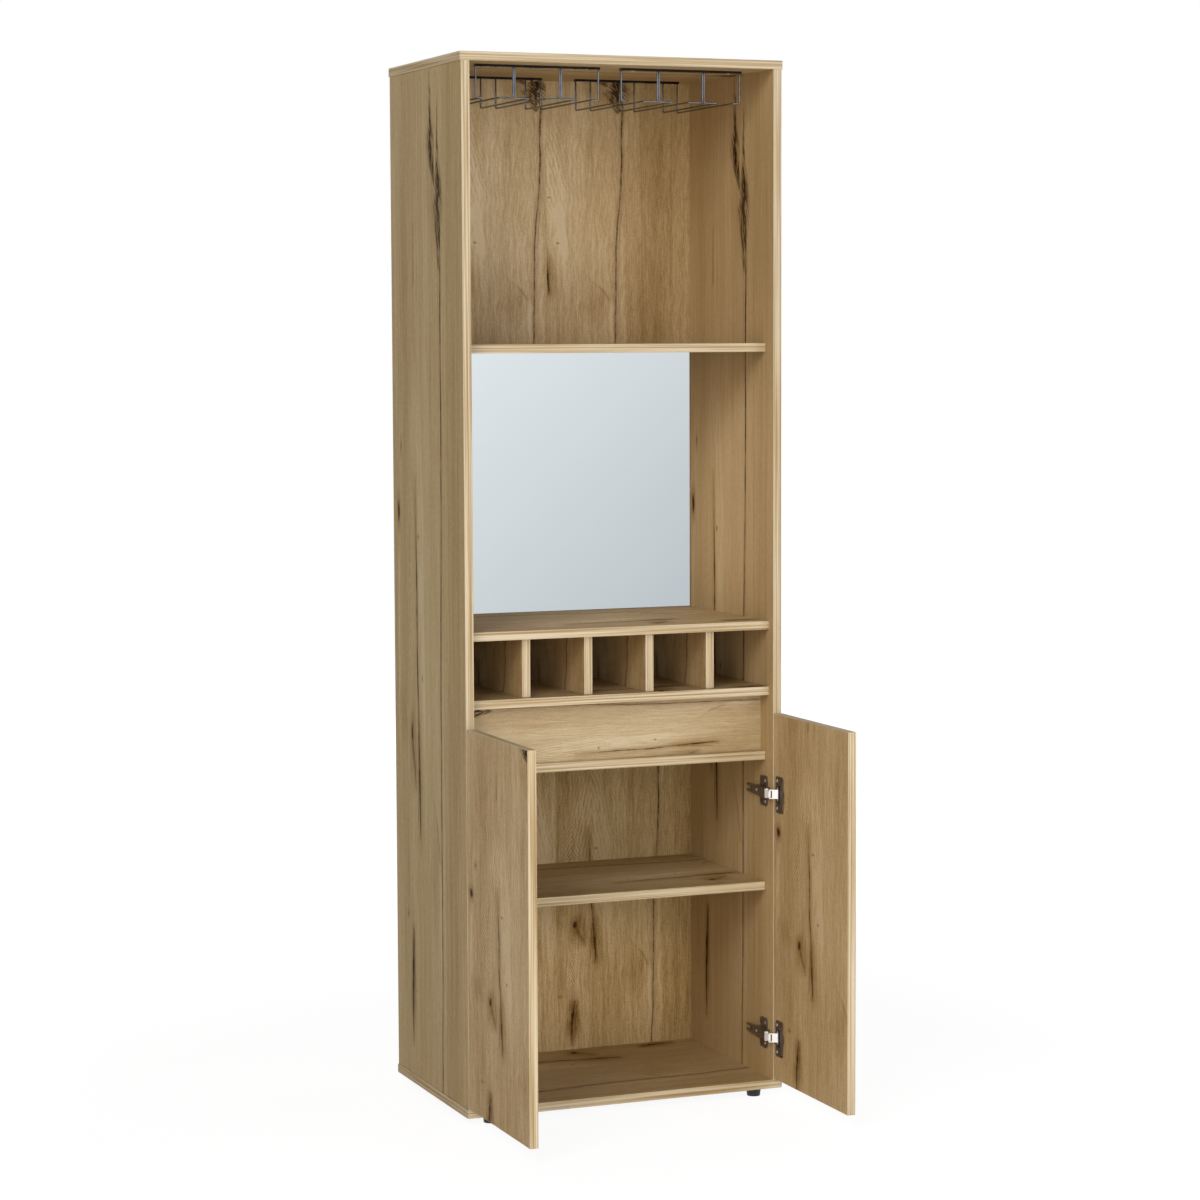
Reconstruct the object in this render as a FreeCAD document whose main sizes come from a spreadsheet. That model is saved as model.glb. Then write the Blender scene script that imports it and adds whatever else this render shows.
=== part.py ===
import FreeCAD, Part
import math
import os
import Sketcher

doc = FreeCAD.newDocument("BarArmoire")

# Driving dimensions, in millimetres. X runs to the right, Y to the back and Z up. The origin is on
# the floor, in the middle of the space that the cabinet takes with its doors open.
SIZES = [
    ("cabinet_width", 586, "top and bottom panel, end to end"),
    ("cabinet_depth", 375, "front edge to back edge"),
    ("cabinet_height", 1800, "floor to top face"),
    ("board", 15, "thickness of every board"),
    ("edge_ease", 0.6, "bevel on the banded edges"),
    ("end_overhang", 2, "top and bottom panel beyond the outside of the sides"),
    ("foot_height", 13, "floor to underside of the bottom panel"),
    ("foot_radius", 13, "round glide, at its top"),
    ("foot_taper", 1.5, "glide narrower at the floor, on the radius"),
    ("foot_inset_x", 47, "glide axis from the panel end"),
    ("foot_inset_y", 17.5, "glide axis from the panel front and back"),
    ("nail_radius", 1.5, "nail of a glide"),
    ("nail_length", 22, "nail of a glide"),
    ("nail_head_radius", 3.5, "nail of a glide"),
    ("nail_head_height", 1.5, "nail of a glide"),
    ("nail_recess", 3, "underside of the nail head over the floor"),
    ("lower_bay", 332, "clear height under the loose shelf"),
    ("upper_bay", 216, "clear height over the loose shelf"),
    ("apron_height", 100, "rail between cupboard and bottle rack"),
    ("cubby_height", 100, "clear height of the bottle cubbies"),
    ("mirror_bay", 467, "clear height in front of the mirror"),
    ("counter_recess", 18.5, "counter and bottle floor behind the front edge of the sides"),
    ("shelf_recess", 33, "shelves and dividers behind the front edge of the sides"),
    ("apron_recess", 53, "apron face behind the front edge of the sides"),
    ("back_thickness", 3, "hardboard back"),
    ("back_setback", 12, "back face of the hardboard from the back edge"),
    ("groove_depth", 6, "groove that holds the hardboard"),
    ("groove_play", 0.2, "groove wider and deeper than the hardboard"),
    ("mirror_thickness", 3, "mirror glass"),
    ("mirror_margin", 2, "mirror edge from the sides"),
    ("shelf_play", 0.5, "loose shelf shorter at each end"),
    ("peg_radius", 2.5, "shelf peg"),
    ("peg_length", 18, "shelf peg, in the wood and out of it"),
    ("peg_depth", 9, "shelf peg in the side"),
    ("peg_inset", 40, "shelf peg from the front and back of the loose shelf"),
    ("fitting_inset", 45, "cam and dowel from the front and back of a fixed shelf"),
    ("dowel_radius", 4, "beech dowel"),
    ("dowel_length", 30, "beech dowel"),
    ("dowel_depth", 10, "dowel in the side"),
    ("cam_radius", 7.5, "cam disc"),
    ("cam_cover", 3, "wood left over the cam disc"),
    ("cam_setback", 34, "cam axis from the end of the shelf"),
    ("bolt_radius", 3, "cam bolt"),
    ("bolt_depth", 11, "cam bolt in the side"),
    ("small_dowel_radius", 3, "dowel under a divider"),
    ("small_dowel_length", 20, "dowel under a divider"),
    ("small_dowel_inset", 60, "dowel from the front and back of a divider"),
    ("screw_radius", 2.5, "panel screw shank"),
    ("screw_head_radius", 4.5, "panel screw head"),
    ("screw_head_height", 3, "panel screw head"),
    ("screw_length", 50, "panel screw"),
    ("screw_inset", 60, "panel screw from the front and back edge"),
    ("hole_play", 0.1, "hole larger than the fitting in it, on the radius"),
    ("rack_side_gap", 34, "outer post of a stemware rack from the side"),
    ("rack_middle_gap", 42, "between the inner posts of the two racks"),
    ("rack_setback", 66, "front posts from the front edge of the sides"),
    ("rack_back_gap", 51, "back posts from the back"),
    ("rack_drop", 55, "underside of the top to the axes of the rails"),
    ("rack_bar_height", 4, "flat bar of the rack"),
    ("rack_bar_width", 10, "flat bar of the rack"),
    ("wire_radius", 1.5, "rack wire"),
    ("wire_bend", 4, "bend of the rack wire, on its axis"),
    ("wire_rise", 6, "bent end of a rail up to its post"),
    ("post_jog", 12.5, "outer post to the rail under it"),
    ("slot_width", 28, "between the axes of the two rails of a stem slot"),
    ("rack_screw_radius", 1.75, "rack screw"),
    ("rack_screw_depth", 10, "rack screw in the top"),
    ("rack_screw_head", 3.5, "rack screw head radius"),
    ("rack_screw_inset", 22, "rack screw from the end of the front bar"),
    ("finger_gap", 30, "top of the doors to the bottle floor"),
    ("sill_gap", 3, "bottom of the doors over the bottom panel"),
    ("meet_gap", 3, "between the closed doors"),
    ("door_overlay", 14, "closed door over the front edge of the side"),
    ("door_gap", 2.5, "closed door to the front edge of the side"),
    ("open_gap", 4, "open door to the front edge of the side"),
    ("upper_hinge_drop", 55, "middle of the hinge under the cupboard's top shelf"),
    ("lower_hinge_rise", 78, "middle of the hinge over the bottom panel"),
    ("cup_radius", 17.5, "hinge cup"),
    ("cup_depth", 11.3, "hinge cup"),
    ("cup_wall", 1, "hinge cup"),
    ("cup_setback", 22.5, "cup axis from the edge of the door"),
    ("rim_radius", 19, "rim of the cup"),
    ("flange_height", 64, "ears of the cup, end to end"),
    ("flange_width", 30, "ears of the cup"),
    ("flange_setback", 8, "ears from the edge of the door"),
    ("flange_thickness", 1.2, "rim and ears"),
    ("flange_corner", 6, "rounded corners of the ears"),
    ("rib_width", 8, "raised rib along the far side of the ears"),
    ("rib_height", 3, "raised rib, from the door"),
    ("notch_reach", 5.5, "notch for the link, past the pin towards the edge of the door"),
    ("notch_depth", 4, "notch for the link, into the door"),
    ("notch_play", 1, "notch beyond each end of the link"),
    ("cup_screw_spacing", 48, "screws in the ears"),
    ("cup_screw_setback", 13, "screws in the ears, from the edge of the door"),
    ("cup_screw_radius", 1.75, "screw in an ear"),
    ("cup_screw_depth", 10, "screw in the door"),
    ("pin_inset", 11, "cup pin from the axis of the cup"),
    ("pin_depth", 1.5, "cup pin under the inner face of the door"),
    ("pin_radius", 1.25, "hinge pins"),
    ("pin_play", 0.05, "pin hole larger than the pin, on the radius"),
    ("arm_reach", 19, "arm pin from the pole of the door's quarter turn"),
    ("link_height", 16, "link and arm along the pins"),
    ("link_cheek", 1.6, "cheeks of the link"),
    ("link_eye", 2.2, "eyes of the link"),
    ("link_play", 0.3, "link to the tongue of the arm"),
    ("arm_eye", 2.6, "eye of the arm, and half its thickness"),
    ("arm_length", 38, "arm behind the front edge of the side"),
    ("tongue_root", 2, "shoulder of the arm behind the front edge of the side"),
    ("saddle_length", 93, "saddle behind the front edge of the side"),
    ("saddle_front", 14, "front of the saddle behind the front edge of the side"),
    ("saddle_height", 20, "saddle along the pins"),
    ("saddle_tail", 14, "narrow end of the saddle"),
    ("saddle_notch", 13, "open notch in the end of the saddle"),
    ("saddle_slot", 6, "width of the notch"),
    ("window_setback", 20, "window in the saddle from its end"),
    ("window_width", 4, "window in the saddle"),
    ("window_height", 9, "window in the saddle"),
    ("saddle_screw_setback", 52, "saddle screw from the front edge of the side"),
    ("saddle_screw_radius", 2, "saddle screw"),
    ("saddle_screw_depth", 4, "saddle screw in the rail of the plate"),
    ("plate_setback", 36, "middle of the plate's wings from the front edge of the side"),
    ("plate_width", 28, "wings of the plate"),
    ("plate_height", 53, "wings of the plate"),
    ("plate_thickness", 2.5, "wings of the plate"),
    ("plate_corner", 5, "rounded corners of the wings"),
    ("plate_slot", 4.5, "width of the adjusting slots in the wings"),
    ("rail_length", 48, "raised rail of the plate"),
    ("rail_height", 6, "raised rail of the plate, from the side"),
    ("rail_width", 16, "raised rail of the plate, along the pins"),
    ("plate_screw_spacing", 36, "screws in the wings"),
    ("plate_screw_offset", 7, "screws in front of the middle of the wings"),
    ("plate_screw_radius", 1.75, "screw in a wing"),
    ("plate_screw_depth", 10, "screw in the side"),
    ("small_head_radius", 3.3, "heads of the hinge screws"),
    ("small_head_height", 0.9, "heads of the hinge and rack screws"),
]
DIVIDERS = 4

sheet = doc.addObject("Spreadsheet::Sheet", "Dims")
for row, (alias, number, note) in enumerate(SIZES, 1):
    sheet.set("A%d" % row, note)
    sheet.set("B%d" % row, str(number))
    sheet.setAlias("B%d" % row, alias)

# Places that follow from the driving dimensions. At a hinge, u counts inwards from the inner face
# of the side and v forwards from its front edge.
PLACES = [
    ("half_clear", "Dims.cabinet_width / 2 - Dims.end_overhang - Dims.board"),
    ("door_width", "half_clear + Dims.door_overlay - Dims.meet_gap / 2"),
    ("front", "(Dims.open_gap + door_width - Dims.cabinet_depth) / 2"),
    ("back", "front + Dims.cabinet_depth"),
    ("back_face", "back - Dims.back_setback - Dims.back_thickness"),
    ("floor_z", "Dims.foot_height + Dims.board"),
    ("loose_z", "floor_z + Dims.lower_bay"),
    ("cupboard_z", "loose_z + Dims.board + Dims.upper_bay"),
    ("apron_z", "cupboard_z + Dims.board"),
    ("bottle_z", "apron_z + Dims.apron_height"),
    ("counter_z", "bottle_z + Dims.board + Dims.cubby_height"),
    ("upper_z", "counter_z + Dims.board + Dims.mirror_bay"),
    ("top_z", "Dims.cabinet_height - Dims.board"),
    ("door_z", "floor_z + Dims.sill_gap"),
    ("door_height", "bottle_z - Dims.finger_gap - door_z"),
    ("rack_width", "half_clear - Dims.rack_side_gap - Dims.rack_middle_gap / 2"),
    ("rack_front", "front + Dims.rack_setback"),
    ("rack_back", "back_face - Dims.rack_back_gap"),
    ("rail_z", "top_z - Dims.rack_drop"),
    ("post_z", "rail_z + Dims.wire_rise"),
    ("bar_z", "top_z - Dims.rack_bar_height"),
    ("slot_pitch", "rack_width / 2 - Dims.post_jog - Dims.slot_width / 2"),
    ("upper_hinge_z", "cupboard_z - Dims.upper_hinge_drop"),
    ("lower_hinge_z", "floor_z + Dims.lower_hinge_rise"),
    # Pole of the quarter turn between the closed and the open door.
    ("pole_u", "(Dims.door_gap - Dims.door_overlay - Dims.open_gap) / 2"),
    ("pole_v", "(Dims.open_gap + Dims.door_overlay + Dims.door_gap) / 2"),
    ("cup_pin_u", "-Dims.pin_depth"),
    ("cup_pin_v", "Dims.open_gap + Dims.cup_setback - Dims.pin_inset"),
    # The arm pin is as far from the cup pin with the door closed as with it open, so it lies on
    # the line through the pole that halves the quarter turn.
    ("reach_u", "cup_pin_u - pole_u + cup_pin_v - pole_v"),
    ("reach_v", "cup_pin_v - pole_v - cup_pin_u + pole_u"),
    ("reach", "sqrt(reach_u * reach_u + reach_v * reach_v)"),
    ("arm_pin_u", "pole_u + Dims.arm_reach * reach_u / reach"),
    ("arm_pin_v", "pole_v + Dims.arm_reach * reach_v / reach"),
    ("link_u", "cup_pin_u - arm_pin_u"),
    ("link_v", "cup_pin_v - arm_pin_v"),
    ("link_length", "sqrt(link_u * link_u + link_v * link_v)"),
]
places = doc.addObject("Spreadsheet::Sheet", "Places")
for row, (alias, formula) in enumerate(PLACES, 1):
    places.set("A%d" % row, alias)
    places.set("B%d" % row, "=" + formula)
    places.setAlias("B%d" % row, alias)
doc.recompute()

nodes = {}


def size(alias):
    return float(sheet.get(alias))


def place(alias):
    return float(places.get(alias))


def node(label, thing):
    thing.Label = label
    nodes[label] = thing


def bind(thing, properties, texts):
    for prop, text in zip(properties, texts):
        thing.setExpression(prop, text)


BASE = ("Placement.Base.x", "Placement.Base.y", "Placement.Base.z")
TURN = {
    "x": FreeCAD.Rotation(FreeCAD.Vector(0, 1, 0), 90),
    "y": FreeCAD.Rotation(FreeCAD.Vector(1, 0, 0), -90),
    "z": FreeCAD.Rotation(),
}


def block(lengths, corner):
    box = doc.addObject("Part::Box", "Block")
    bind(box, ("Length", "Width", "Height"), lengths)
    bind(box, BASE, corner)
    return box


def rod(radius, length, start, axis):
    cylinder = doc.addObject("Part::Cylinder", "Rod")
    bind(cylinder, ("Radius", "Height"), (radius, length))
    cylinder.Placement = FreeCAD.Placement(FreeCAD.Vector(), TURN[axis])
    bind(cylinder, BASE, start)
    return cylinder


def fuse(*parts):
    union = doc.addObject("Part::MultiFuse", "Union")
    union.Shapes = list(parts)
    return union


def together(parts):
    group = doc.addObject("Part::Compound", "Group")
    group.Links = list(parts)
    return group


def cut(base, *tools):
    difference = doc.addObject("Part::Cut", "Difference")
    difference.Base = base
    difference.Tool = together(tools) if len(tools) > 1 else tools[0]
    return difference


def eased(box, banded):
    # Bevels the edges round each banded face, which is named by its outward axis.
    doc.recompute()
    bounds = box.Shape.BoundBox
    level = {"-x": bounds.XMin, "+x": bounds.XMax, "-y": bounds.YMin, "+y": bounds.YMax,
             "-z": bounds.ZMin, "+z": bounds.ZMax}
    chosen = []
    for index, edge in enumerate(box.Shape.Edges, 1):
        ends = [vertex.Point for vertex in edge.Vertexes]
        if any(all(abs(getattr(end, face[1]) - level[face]) < 1e-6 for end in ends) for face in banded):
            chosen.append(index)
    bevel = doc.addObject("Part::Chamfer", "Bevel")
    bevel.Base = box
    bevel.Edges = [(index, size("edge_ease"), size("edge_ease")) for index in chosen]
    return bevel


def rounded(box, radius):
    # Rounds the four edges that run along X.
    doc.recompute()
    chosen = [index for index, edge in enumerate(box.Shape.Edges, 1)
              if abs(edge.Vertexes[0].X - edge.Vertexes[1].X) > 1e-6]
    fillet = doc.addObject("Part::Fillet", "Round")
    fillet.Base = box
    fillet.Edges = [(index, size(radius), size(radius)) for index in chosen]
    return fillet


# Boards of the case
CLEAR = "2 * Places.half_clear"
LEFT_IN = "-Places.half_clear"
SHELF_DEPTH = "Places.back_face - Places.front - Dims.shelf_recess"
COUNTER_DEPTH = "Places.back_face - Places.front - Dims.counter_recess"
PANEL = ("Dims.cabinet_width", "Dims.cabinet_depth", "Dims.board")
SIDE = ("Dims.board", "Dims.cabinet_depth", "Places.top_z - Places.floor_z")


def shelf(level, recess, depth, play):
    lengths = ("%s - 2 * %s" % (CLEAR, play), depth, "Dims.board")
    return eased(block(lengths, ("%s + %s" % (LEFT_IN, play), "Places.front + " + recess, level)), ["-y"])


boards = {
    "top_panel": eased(block(PANEL, ("-Dims.cabinet_width / 2", "Places.front", "Places.top_z")),
                       ["-x", "+x", "-y"]),
    "bottom_panel": eased(block(PANEL, ("-Dims.cabinet_width / 2", "Places.front", "Dims.foot_height")),
                          ["-x", "+x", "-y"]),
    "left_side": eased(block(SIDE, (LEFT_IN + " - Dims.board", "Places.front", "Places.floor_z")), ["-y"]),
    "right_side": eased(block(SIDE, ("Places.half_clear", "Places.front", "Places.floor_z")), ["-y"]),
    "upper_shelf": shelf("Places.upper_z", "Dims.shelf_recess", SHELF_DEPTH, "0"),
    "counter_shelf": shelf("Places.counter_z", "Dims.counter_recess", COUNTER_DEPTH, "0"),
    "bottle_floor": shelf("Places.bottle_z", "Dims.counter_recess", COUNTER_DEPTH, "0"),
    "cupboard_shelf": shelf("Places.cupboard_z", "Dims.shelf_recess", SHELF_DEPTH, "0"),
    "loose_shelf": shelf("Places.loose_z", "Dims.shelf_recess", SHELF_DEPTH, "Dims.shelf_play"),
    "apron": block((CLEAR, "Dims.board", "Dims.apron_height"),
                   (LEFT_IN, "Places.front + Dims.apron_recess", "Places.apron_z")),
}
holes = {name: [] for name in boards}

# Dividers stand on small dowels and share the clear width evenly.
small_dowels = []
for index in range(1, DIVIDERS + 1):
    start = "%s + (%s - %d * Dims.board) * %d / %d + %d * Dims.board" % (
        LEFT_IN, CLEAR, DIVIDERS, index, DIVIDERS + 1, index - 1)
    stand = "Places.bottle_z + Dims.board"
    name = "bottle_divider_%d" % index
    boards[name] = eased(block(("Dims.board", SHELF_DEPTH, "Dims.cubby_height"),
                               (start, "Places.front + Dims.shelf_recess", stand)), ["-y"])
    holes[name] = []
    for y in ("Places.front + Dims.shelf_recess + Dims.small_dowel_inset",
              "Places.back_face - Dims.small_dowel_inset"):
        foot = (start + " + Dims.board / 2", y, stand + " - Dims.small_dowel_length / 2")
        small_dowels.append(rod("Dims.small_dowel_radius", "Dims.small_dowel_length", foot, "z"))
        bore = rod("Dims.small_dowel_radius + Dims.hole_play", "Dims.small_dowel_length", foot, "z")
        holes[name].append(bore)
        holes["bottle_floor"].append(bore)
node("divider_dowels", together(small_dowels))

# Hardboard back in three lengths that meet behind the upper shelf and the bottle floor.
BACK_WIDTH = CLEAR + " + 2 * Dims.groove_depth"
BACK_X = LEFT_IN + " - Dims.groove_depth"
BACK_LENGTHS = [
    ("lower_back_panel", "Places.floor_z - Dims.groove_depth", "Places.bottle_z + Dims.board / 2"),
    ("middle_back_panel", "Places.bottle_z + Dims.board / 2", "Places.upper_z + Dims.board / 2"),
    ("upper_back_panel", "Places.upper_z + Dims.board / 2", "Places.top_z + Dims.groove_depth"),
]
for label, low, high in BACK_LENGTHS:
    node(label, block((BACK_WIDTH, "Dims.back_thickness", "%s - (%s)" % (high, low)),
                      (BACK_X, "Places.back_face", low)))
groove = block((BACK_WIDTH + " + 2 * Dims.groove_play", "Dims.back_thickness + Dims.groove_play",
                "Places.top_z - Places.floor_z + 2 * (Dims.groove_depth + Dims.groove_play)"),
               (BACK_X + " - Dims.groove_play", "Places.back_face",
                "Places.floor_z - Dims.groove_depth - Dims.groove_play"))
for name in ("top_panel", "bottom_panel", "left_side", "right_side"):
    holes[name].append(groove)

node("mirror", eased(block((CLEAR + " - 2 * Dims.mirror_margin", "Dims.mirror_thickness", "Dims.mirror_bay"),
                           (LEFT_IN + " + Dims.mirror_margin", "Places.back_face - Dims.mirror_thickness",
                            "Places.counter_z + Dims.board")), ["-y"]))

SIDES = (("left", -1), ("right", 1))


def cross_x(side, reach):
    return "%d * (Places.half_clear - (%s))" % (side, reach)


def cross_rod(side, radius, outer, inner, y, z):
    # Along X between two depths, both counted inwards from the inner face of a side.
    start = cross_x(side, outer if side < 0 else inner)
    return rod(radius, "%s - (%s)" % (inner, outer), (start, y, z), "x")


def cross_block(side, outer, inner, ahead, z, width, height):
    # Between two such depths, back from `ahead` of the side's front edge, centred on the height z.
    start = cross_x(side, outer if side < 0 else inner)
    return block(("%s - (%s)" % (inner, outer), width, height),
                 (start, "Places.front - (%s)" % ahead, "%s - (%s) / 2" % (z, height)))


# Fixed shelves: at each end a cam with its bolt near the front and a dowel near the back.
CAM_HEIGHT = "Dims.board - Dims.cam_cover"
dowels, bolts, cams = [], [], []


def add_dowel(name, side, side_name, y, z):
    dowels.append(cross_rod(side, "Dims.dowel_radius", "-Dims.dowel_depth",
                            "Dims.dowel_length - Dims.dowel_depth", y, z))
    bore = cross_rod(side, "Dims.dowel_radius + Dims.hole_play", "-Dims.dowel_depth - Dims.hole_play",
                     "Dims.dowel_length - Dims.dowel_depth + Dims.hole_play", y, z)
    holes[name].append(bore)
    holes[side_name].append(bore)


FIXED = [("upper_shelf", "Places.upper_z", "Dims.shelf_recess"),
         ("counter_shelf", "Places.counter_z", "Dims.counter_recess"),
         ("bottle_floor", "Places.bottle_z", "Dims.counter_recess"),
         ("cupboard_shelf", "Places.cupboard_z", "Dims.shelf_recess")]
for name, level, recess in FIXED:
    middle = level + " + Dims.board / 2"
    front_y = "Places.front + %s + Dims.fitting_inset" % recess
    for side_word, side in SIDES:
        side_name = side_word + "_side"
        add_dowel(name, side, side_name, "Places.back_face - Dims.fitting_inset", middle)
        bolts.append(cross_rod(side, "Dims.bolt_radius", "-Dims.bolt_depth", "Dims.cam_setback",
                               front_y, middle))
        bolt_bore = cross_rod(side, "Dims.bolt_radius + Dims.hole_play",
                              "-Dims.bolt_depth - Dims.hole_play",
                              "Dims.cam_setback + Dims.bolt_radius", front_y, middle)
        seat = (cross_x(side, "Dims.cam_setback"), front_y, level)
        cams.append(cut(rod("Dims.cam_radius", CAM_HEIGHT, seat, "z"), bolt_bore))
        cam_bore = rod("Dims.cam_radius + Dims.hole_play", CAM_HEIGHT + " + Dims.hole_play", seat, "z")
        holes[name] += [bolt_bore, cam_bore]
        holes[side_name].append(bolt_bore)
for side_word, side in SIDES:
    add_dowel("apron", side, side_word + "_side", "Places.front + Dims.apron_recess + Dims.board / 2",
              "Places.apron_z + Dims.apron_height / 2")
node("dowels", together(dowels))
node("cam_bolts", together(bolts))
node("cam_discs", together(cams))

# Pegs under the loose shelf
pegs = []
for side_word, side in SIDES:
    for y in ("Places.front + Dims.shelf_recess + Dims.peg_inset", "Places.back_face - Dims.peg_inset"):
        axis_z = "Places.loose_z - Dims.peg_radius"
        pegs.append(cross_rod(side, "Dims.peg_radius", "-Dims.peg_depth",
                              "Dims.peg_length - Dims.peg_depth", y, axis_z))
        holes[side_word + "_side"].append(
            cross_rod(side, "Dims.peg_radius + Dims.hole_play", "-Dims.peg_depth - Dims.hole_play",
                      "Dims.hole_play", y, axis_z))
node("shelf_pegs", together(pegs))

# Panel screws, down through the top and up through the bottom into the ends of the sides
screws = []
for side_word, side in SIDES:
    x = "%d * (Places.half_clear + Dims.board / 2)" % side
    for y in ("Places.front + Dims.screw_inset", "Places.back - Dims.screw_inset"):
        down = "Dims.cabinet_height - Dims.screw_length"
        ends = [("top_panel", down, "Dims.cabinet_height - Dims.screw_head_height",
                 down + " - Dims.hole_play", "Dims.cabinet_height - Dims.screw_head_height - Dims.hole_play"),
                ("bottom_panel", "Dims.foot_height", "Dims.foot_height",
                 "Dims.foot_height", "Dims.foot_height")]
        for name, shank_z, head_z, bore_z, sink_z in ends:
            screws.append(fuse(rod("Dims.screw_radius", "Dims.screw_length", (x, y, shank_z), "z"),
                               rod("Dims.screw_head_radius", "Dims.screw_head_height", (x, y, head_z), "z")))
            bore = rod("Dims.screw_radius + Dims.hole_play", "Dims.screw_length + Dims.hole_play",
                       (x, y, bore_z), "z")
            sink = rod("Dims.screw_head_radius + Dims.hole_play", "Dims.screw_head_height + Dims.hole_play",
                       (x, y, sink_z), "z")
            holes[name] += [bore, sink]
            holes[side_word + "_side"].append(bore)
node("panel_screws", together(screws))

# Round glides, each nailed up into the bottom panel
glides, nails = [], []
for side_word, side in SIDES:
    x = "%d * (Dims.cabinet_width / 2 - Dims.foot_inset_x)" % side
    for y in ("Places.front + Dims.foot_inset_y", "Places.back - Dims.foot_inset_y"):
        glide = doc.addObject("Part::Cone", "Glide")
        bind(glide, ("Radius1", "Radius2", "Height"),
             ("Dims.foot_radius - Dims.foot_taper", "Dims.foot_radius", "Dims.foot_height"))
        bind(glide, BASE, (x, y, "0"))
        head_z = "Dims.nail_recess - Dims.nail_head_height"
        nails.append(fuse(rod("Dims.nail_radius", "Dims.nail_length", (x, y, head_z), "z"),
                          rod("Dims.nail_head_radius", "Dims.nail_head_height", (x, y, head_z), "z")))
        bore = rod("Dims.nail_radius + Dims.hole_play", "Dims.nail_length + Dims.hole_play",
                   (x, y, head_z), "z")
        sink = rod("Dims.nail_head_radius + Dims.hole_play", "Dims.nail_recess", (x, y, "0"), "z")
        glides.append(cut(glide, bore, sink))
        holes["bottom_panel"].append(bore)
node("foot_glides", together(glides))
node("glide_nails", together(nails))


# Stemware racks: six rails hung by posts from two flat bars, with bent wire between post and rail
def bent_wire(points):
    bend = size("wire_bend")
    edges = []
    start = points[0]
    for before, corner, after in zip(points, points[1:], points[2:]):
        back = (before - corner).normalize()
        ahead = (after - corner).normalize()
        half_angle = back.getAngle(ahead) / 2
        inside = (back + ahead).normalize()
        enter = corner + back * (bend / math.tan(half_angle))
        leave = corner + ahead * (bend / math.tan(half_angle))
        crown = corner + inside * (bend / math.sin(half_angle) - bend)
        edges += [Part.LineSegment(start, enter).toShape(), Part.Arc(enter, crown, leave).toShape()]
        start = leave
    edges.append(Part.LineSegment(start, points[-1]).toShape())
    ring = Part.Wire(Part.makeCircle(size("wire_radius"), points[0], points[1] - points[0]))
    wire = doc.addObject("Part::Feature", "BentWire")
    wire.Shape = Part.Wire(edges).makePipeShell([ring], True, False)
    return wire


rack_screws = []
for side_word, side in SIDES:
    centre = "%d * (Dims.rack_middle_gap + Places.rack_width) / 2" % side
    pieces = []
    for bar_y, shorter in (("Places.rack_front", "0"), ("Places.rack_back", "Dims.post_jog")):
        half_bar = "Places.rack_width / 2 - %s + Dims.wire_radius" % shorter
        bar = block(("2 * (%s)" % half_bar, "Dims.rack_bar_width", "Dims.rack_bar_height"),
                    ("%s - (%s)" % (centre, half_bar), bar_y + " - Dims.rack_bar_width / 2", "Places.bar_z"))
        bores = []
        for end in (-1, 1):
            x = "%s + %d * (Places.rack_width / 2 - Dims.rack_screw_inset)" % (centre, end)
            head = (x, bar_y, "Places.bar_z - Dims.small_head_height")
            shank = "Dims.small_head_height + Dims.rack_bar_height + Dims.rack_screw_depth"
            rack_screws.append(fuse(rod("Dims.rack_screw_radius", shank, head, "z"),
                                    rod("Dims.rack_screw_head", "Dims.small_head_height", head, "z")))
            bores.append(rod("Dims.rack_screw_radius + Dims.hole_play", shank + " + Dims.hole_play",
                             head, "z"))
        pieces.append(cut(bar, *bores))
        holes["top_panel"] += bores
    twin = "Places.slot_pitch / 2 + %d * (Dims.wire_radius + Dims.hole_play / 2)"
    rails = [("Dims.slot_width / 2", twin % -1),
             ("Places.slot_pitch - Dims.slot_width / 2", twin % 1),
             ("Places.slot_pitch + Dims.slot_width / 2", "Places.rack_width / 2")]
    for hand in (-1, 1):
        for rail_offset, post_offset in rails:
            rail_x = "%s + %d * (%s)" % (centre, hand, rail_offset)
            post_x = "%s + %d * (%s)" % (centre, hand, post_offset)
            post_length = "Places.bar_z - Places.post_z"
            front_post = rod("Dims.wire_radius", post_length,
                             (post_x, "Places.rack_front", "Places.post_z"), "z")
            back_post = rod("Dims.wire_radius", post_length,
                            (rail_x, "Places.rack_back", "Places.post_z"), "z")
            rail = rod("Dims.wire_radius", "Places.rack_back - Places.rack_front - 2 * Dims.wire_rise",
                       (rail_x, "Places.rack_front + Dims.wire_rise", "Places.rail_z"), "y")
            doc.recompute()
            drop = FreeCAD.Vector(0, 0, -size("wire_rise"))
            run = FreeCAD.Vector(0, size("wire_rise"), 0)
            front_top = front_post.Placement.Base
            back_top = back_post.Placement.Base
            rail_start = rail.Placement.Base
            pieces += [front_post, back_post, rail,
                       bent_wire([front_top, front_top + drop, rail_start - run, rail_start]),
                       bent_wire([back_top, back_top + drop, back_top + drop - run])]
    node(side_word + "_glass_rack", together(pieces))
node("rack_screws", together(rack_screws))


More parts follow.
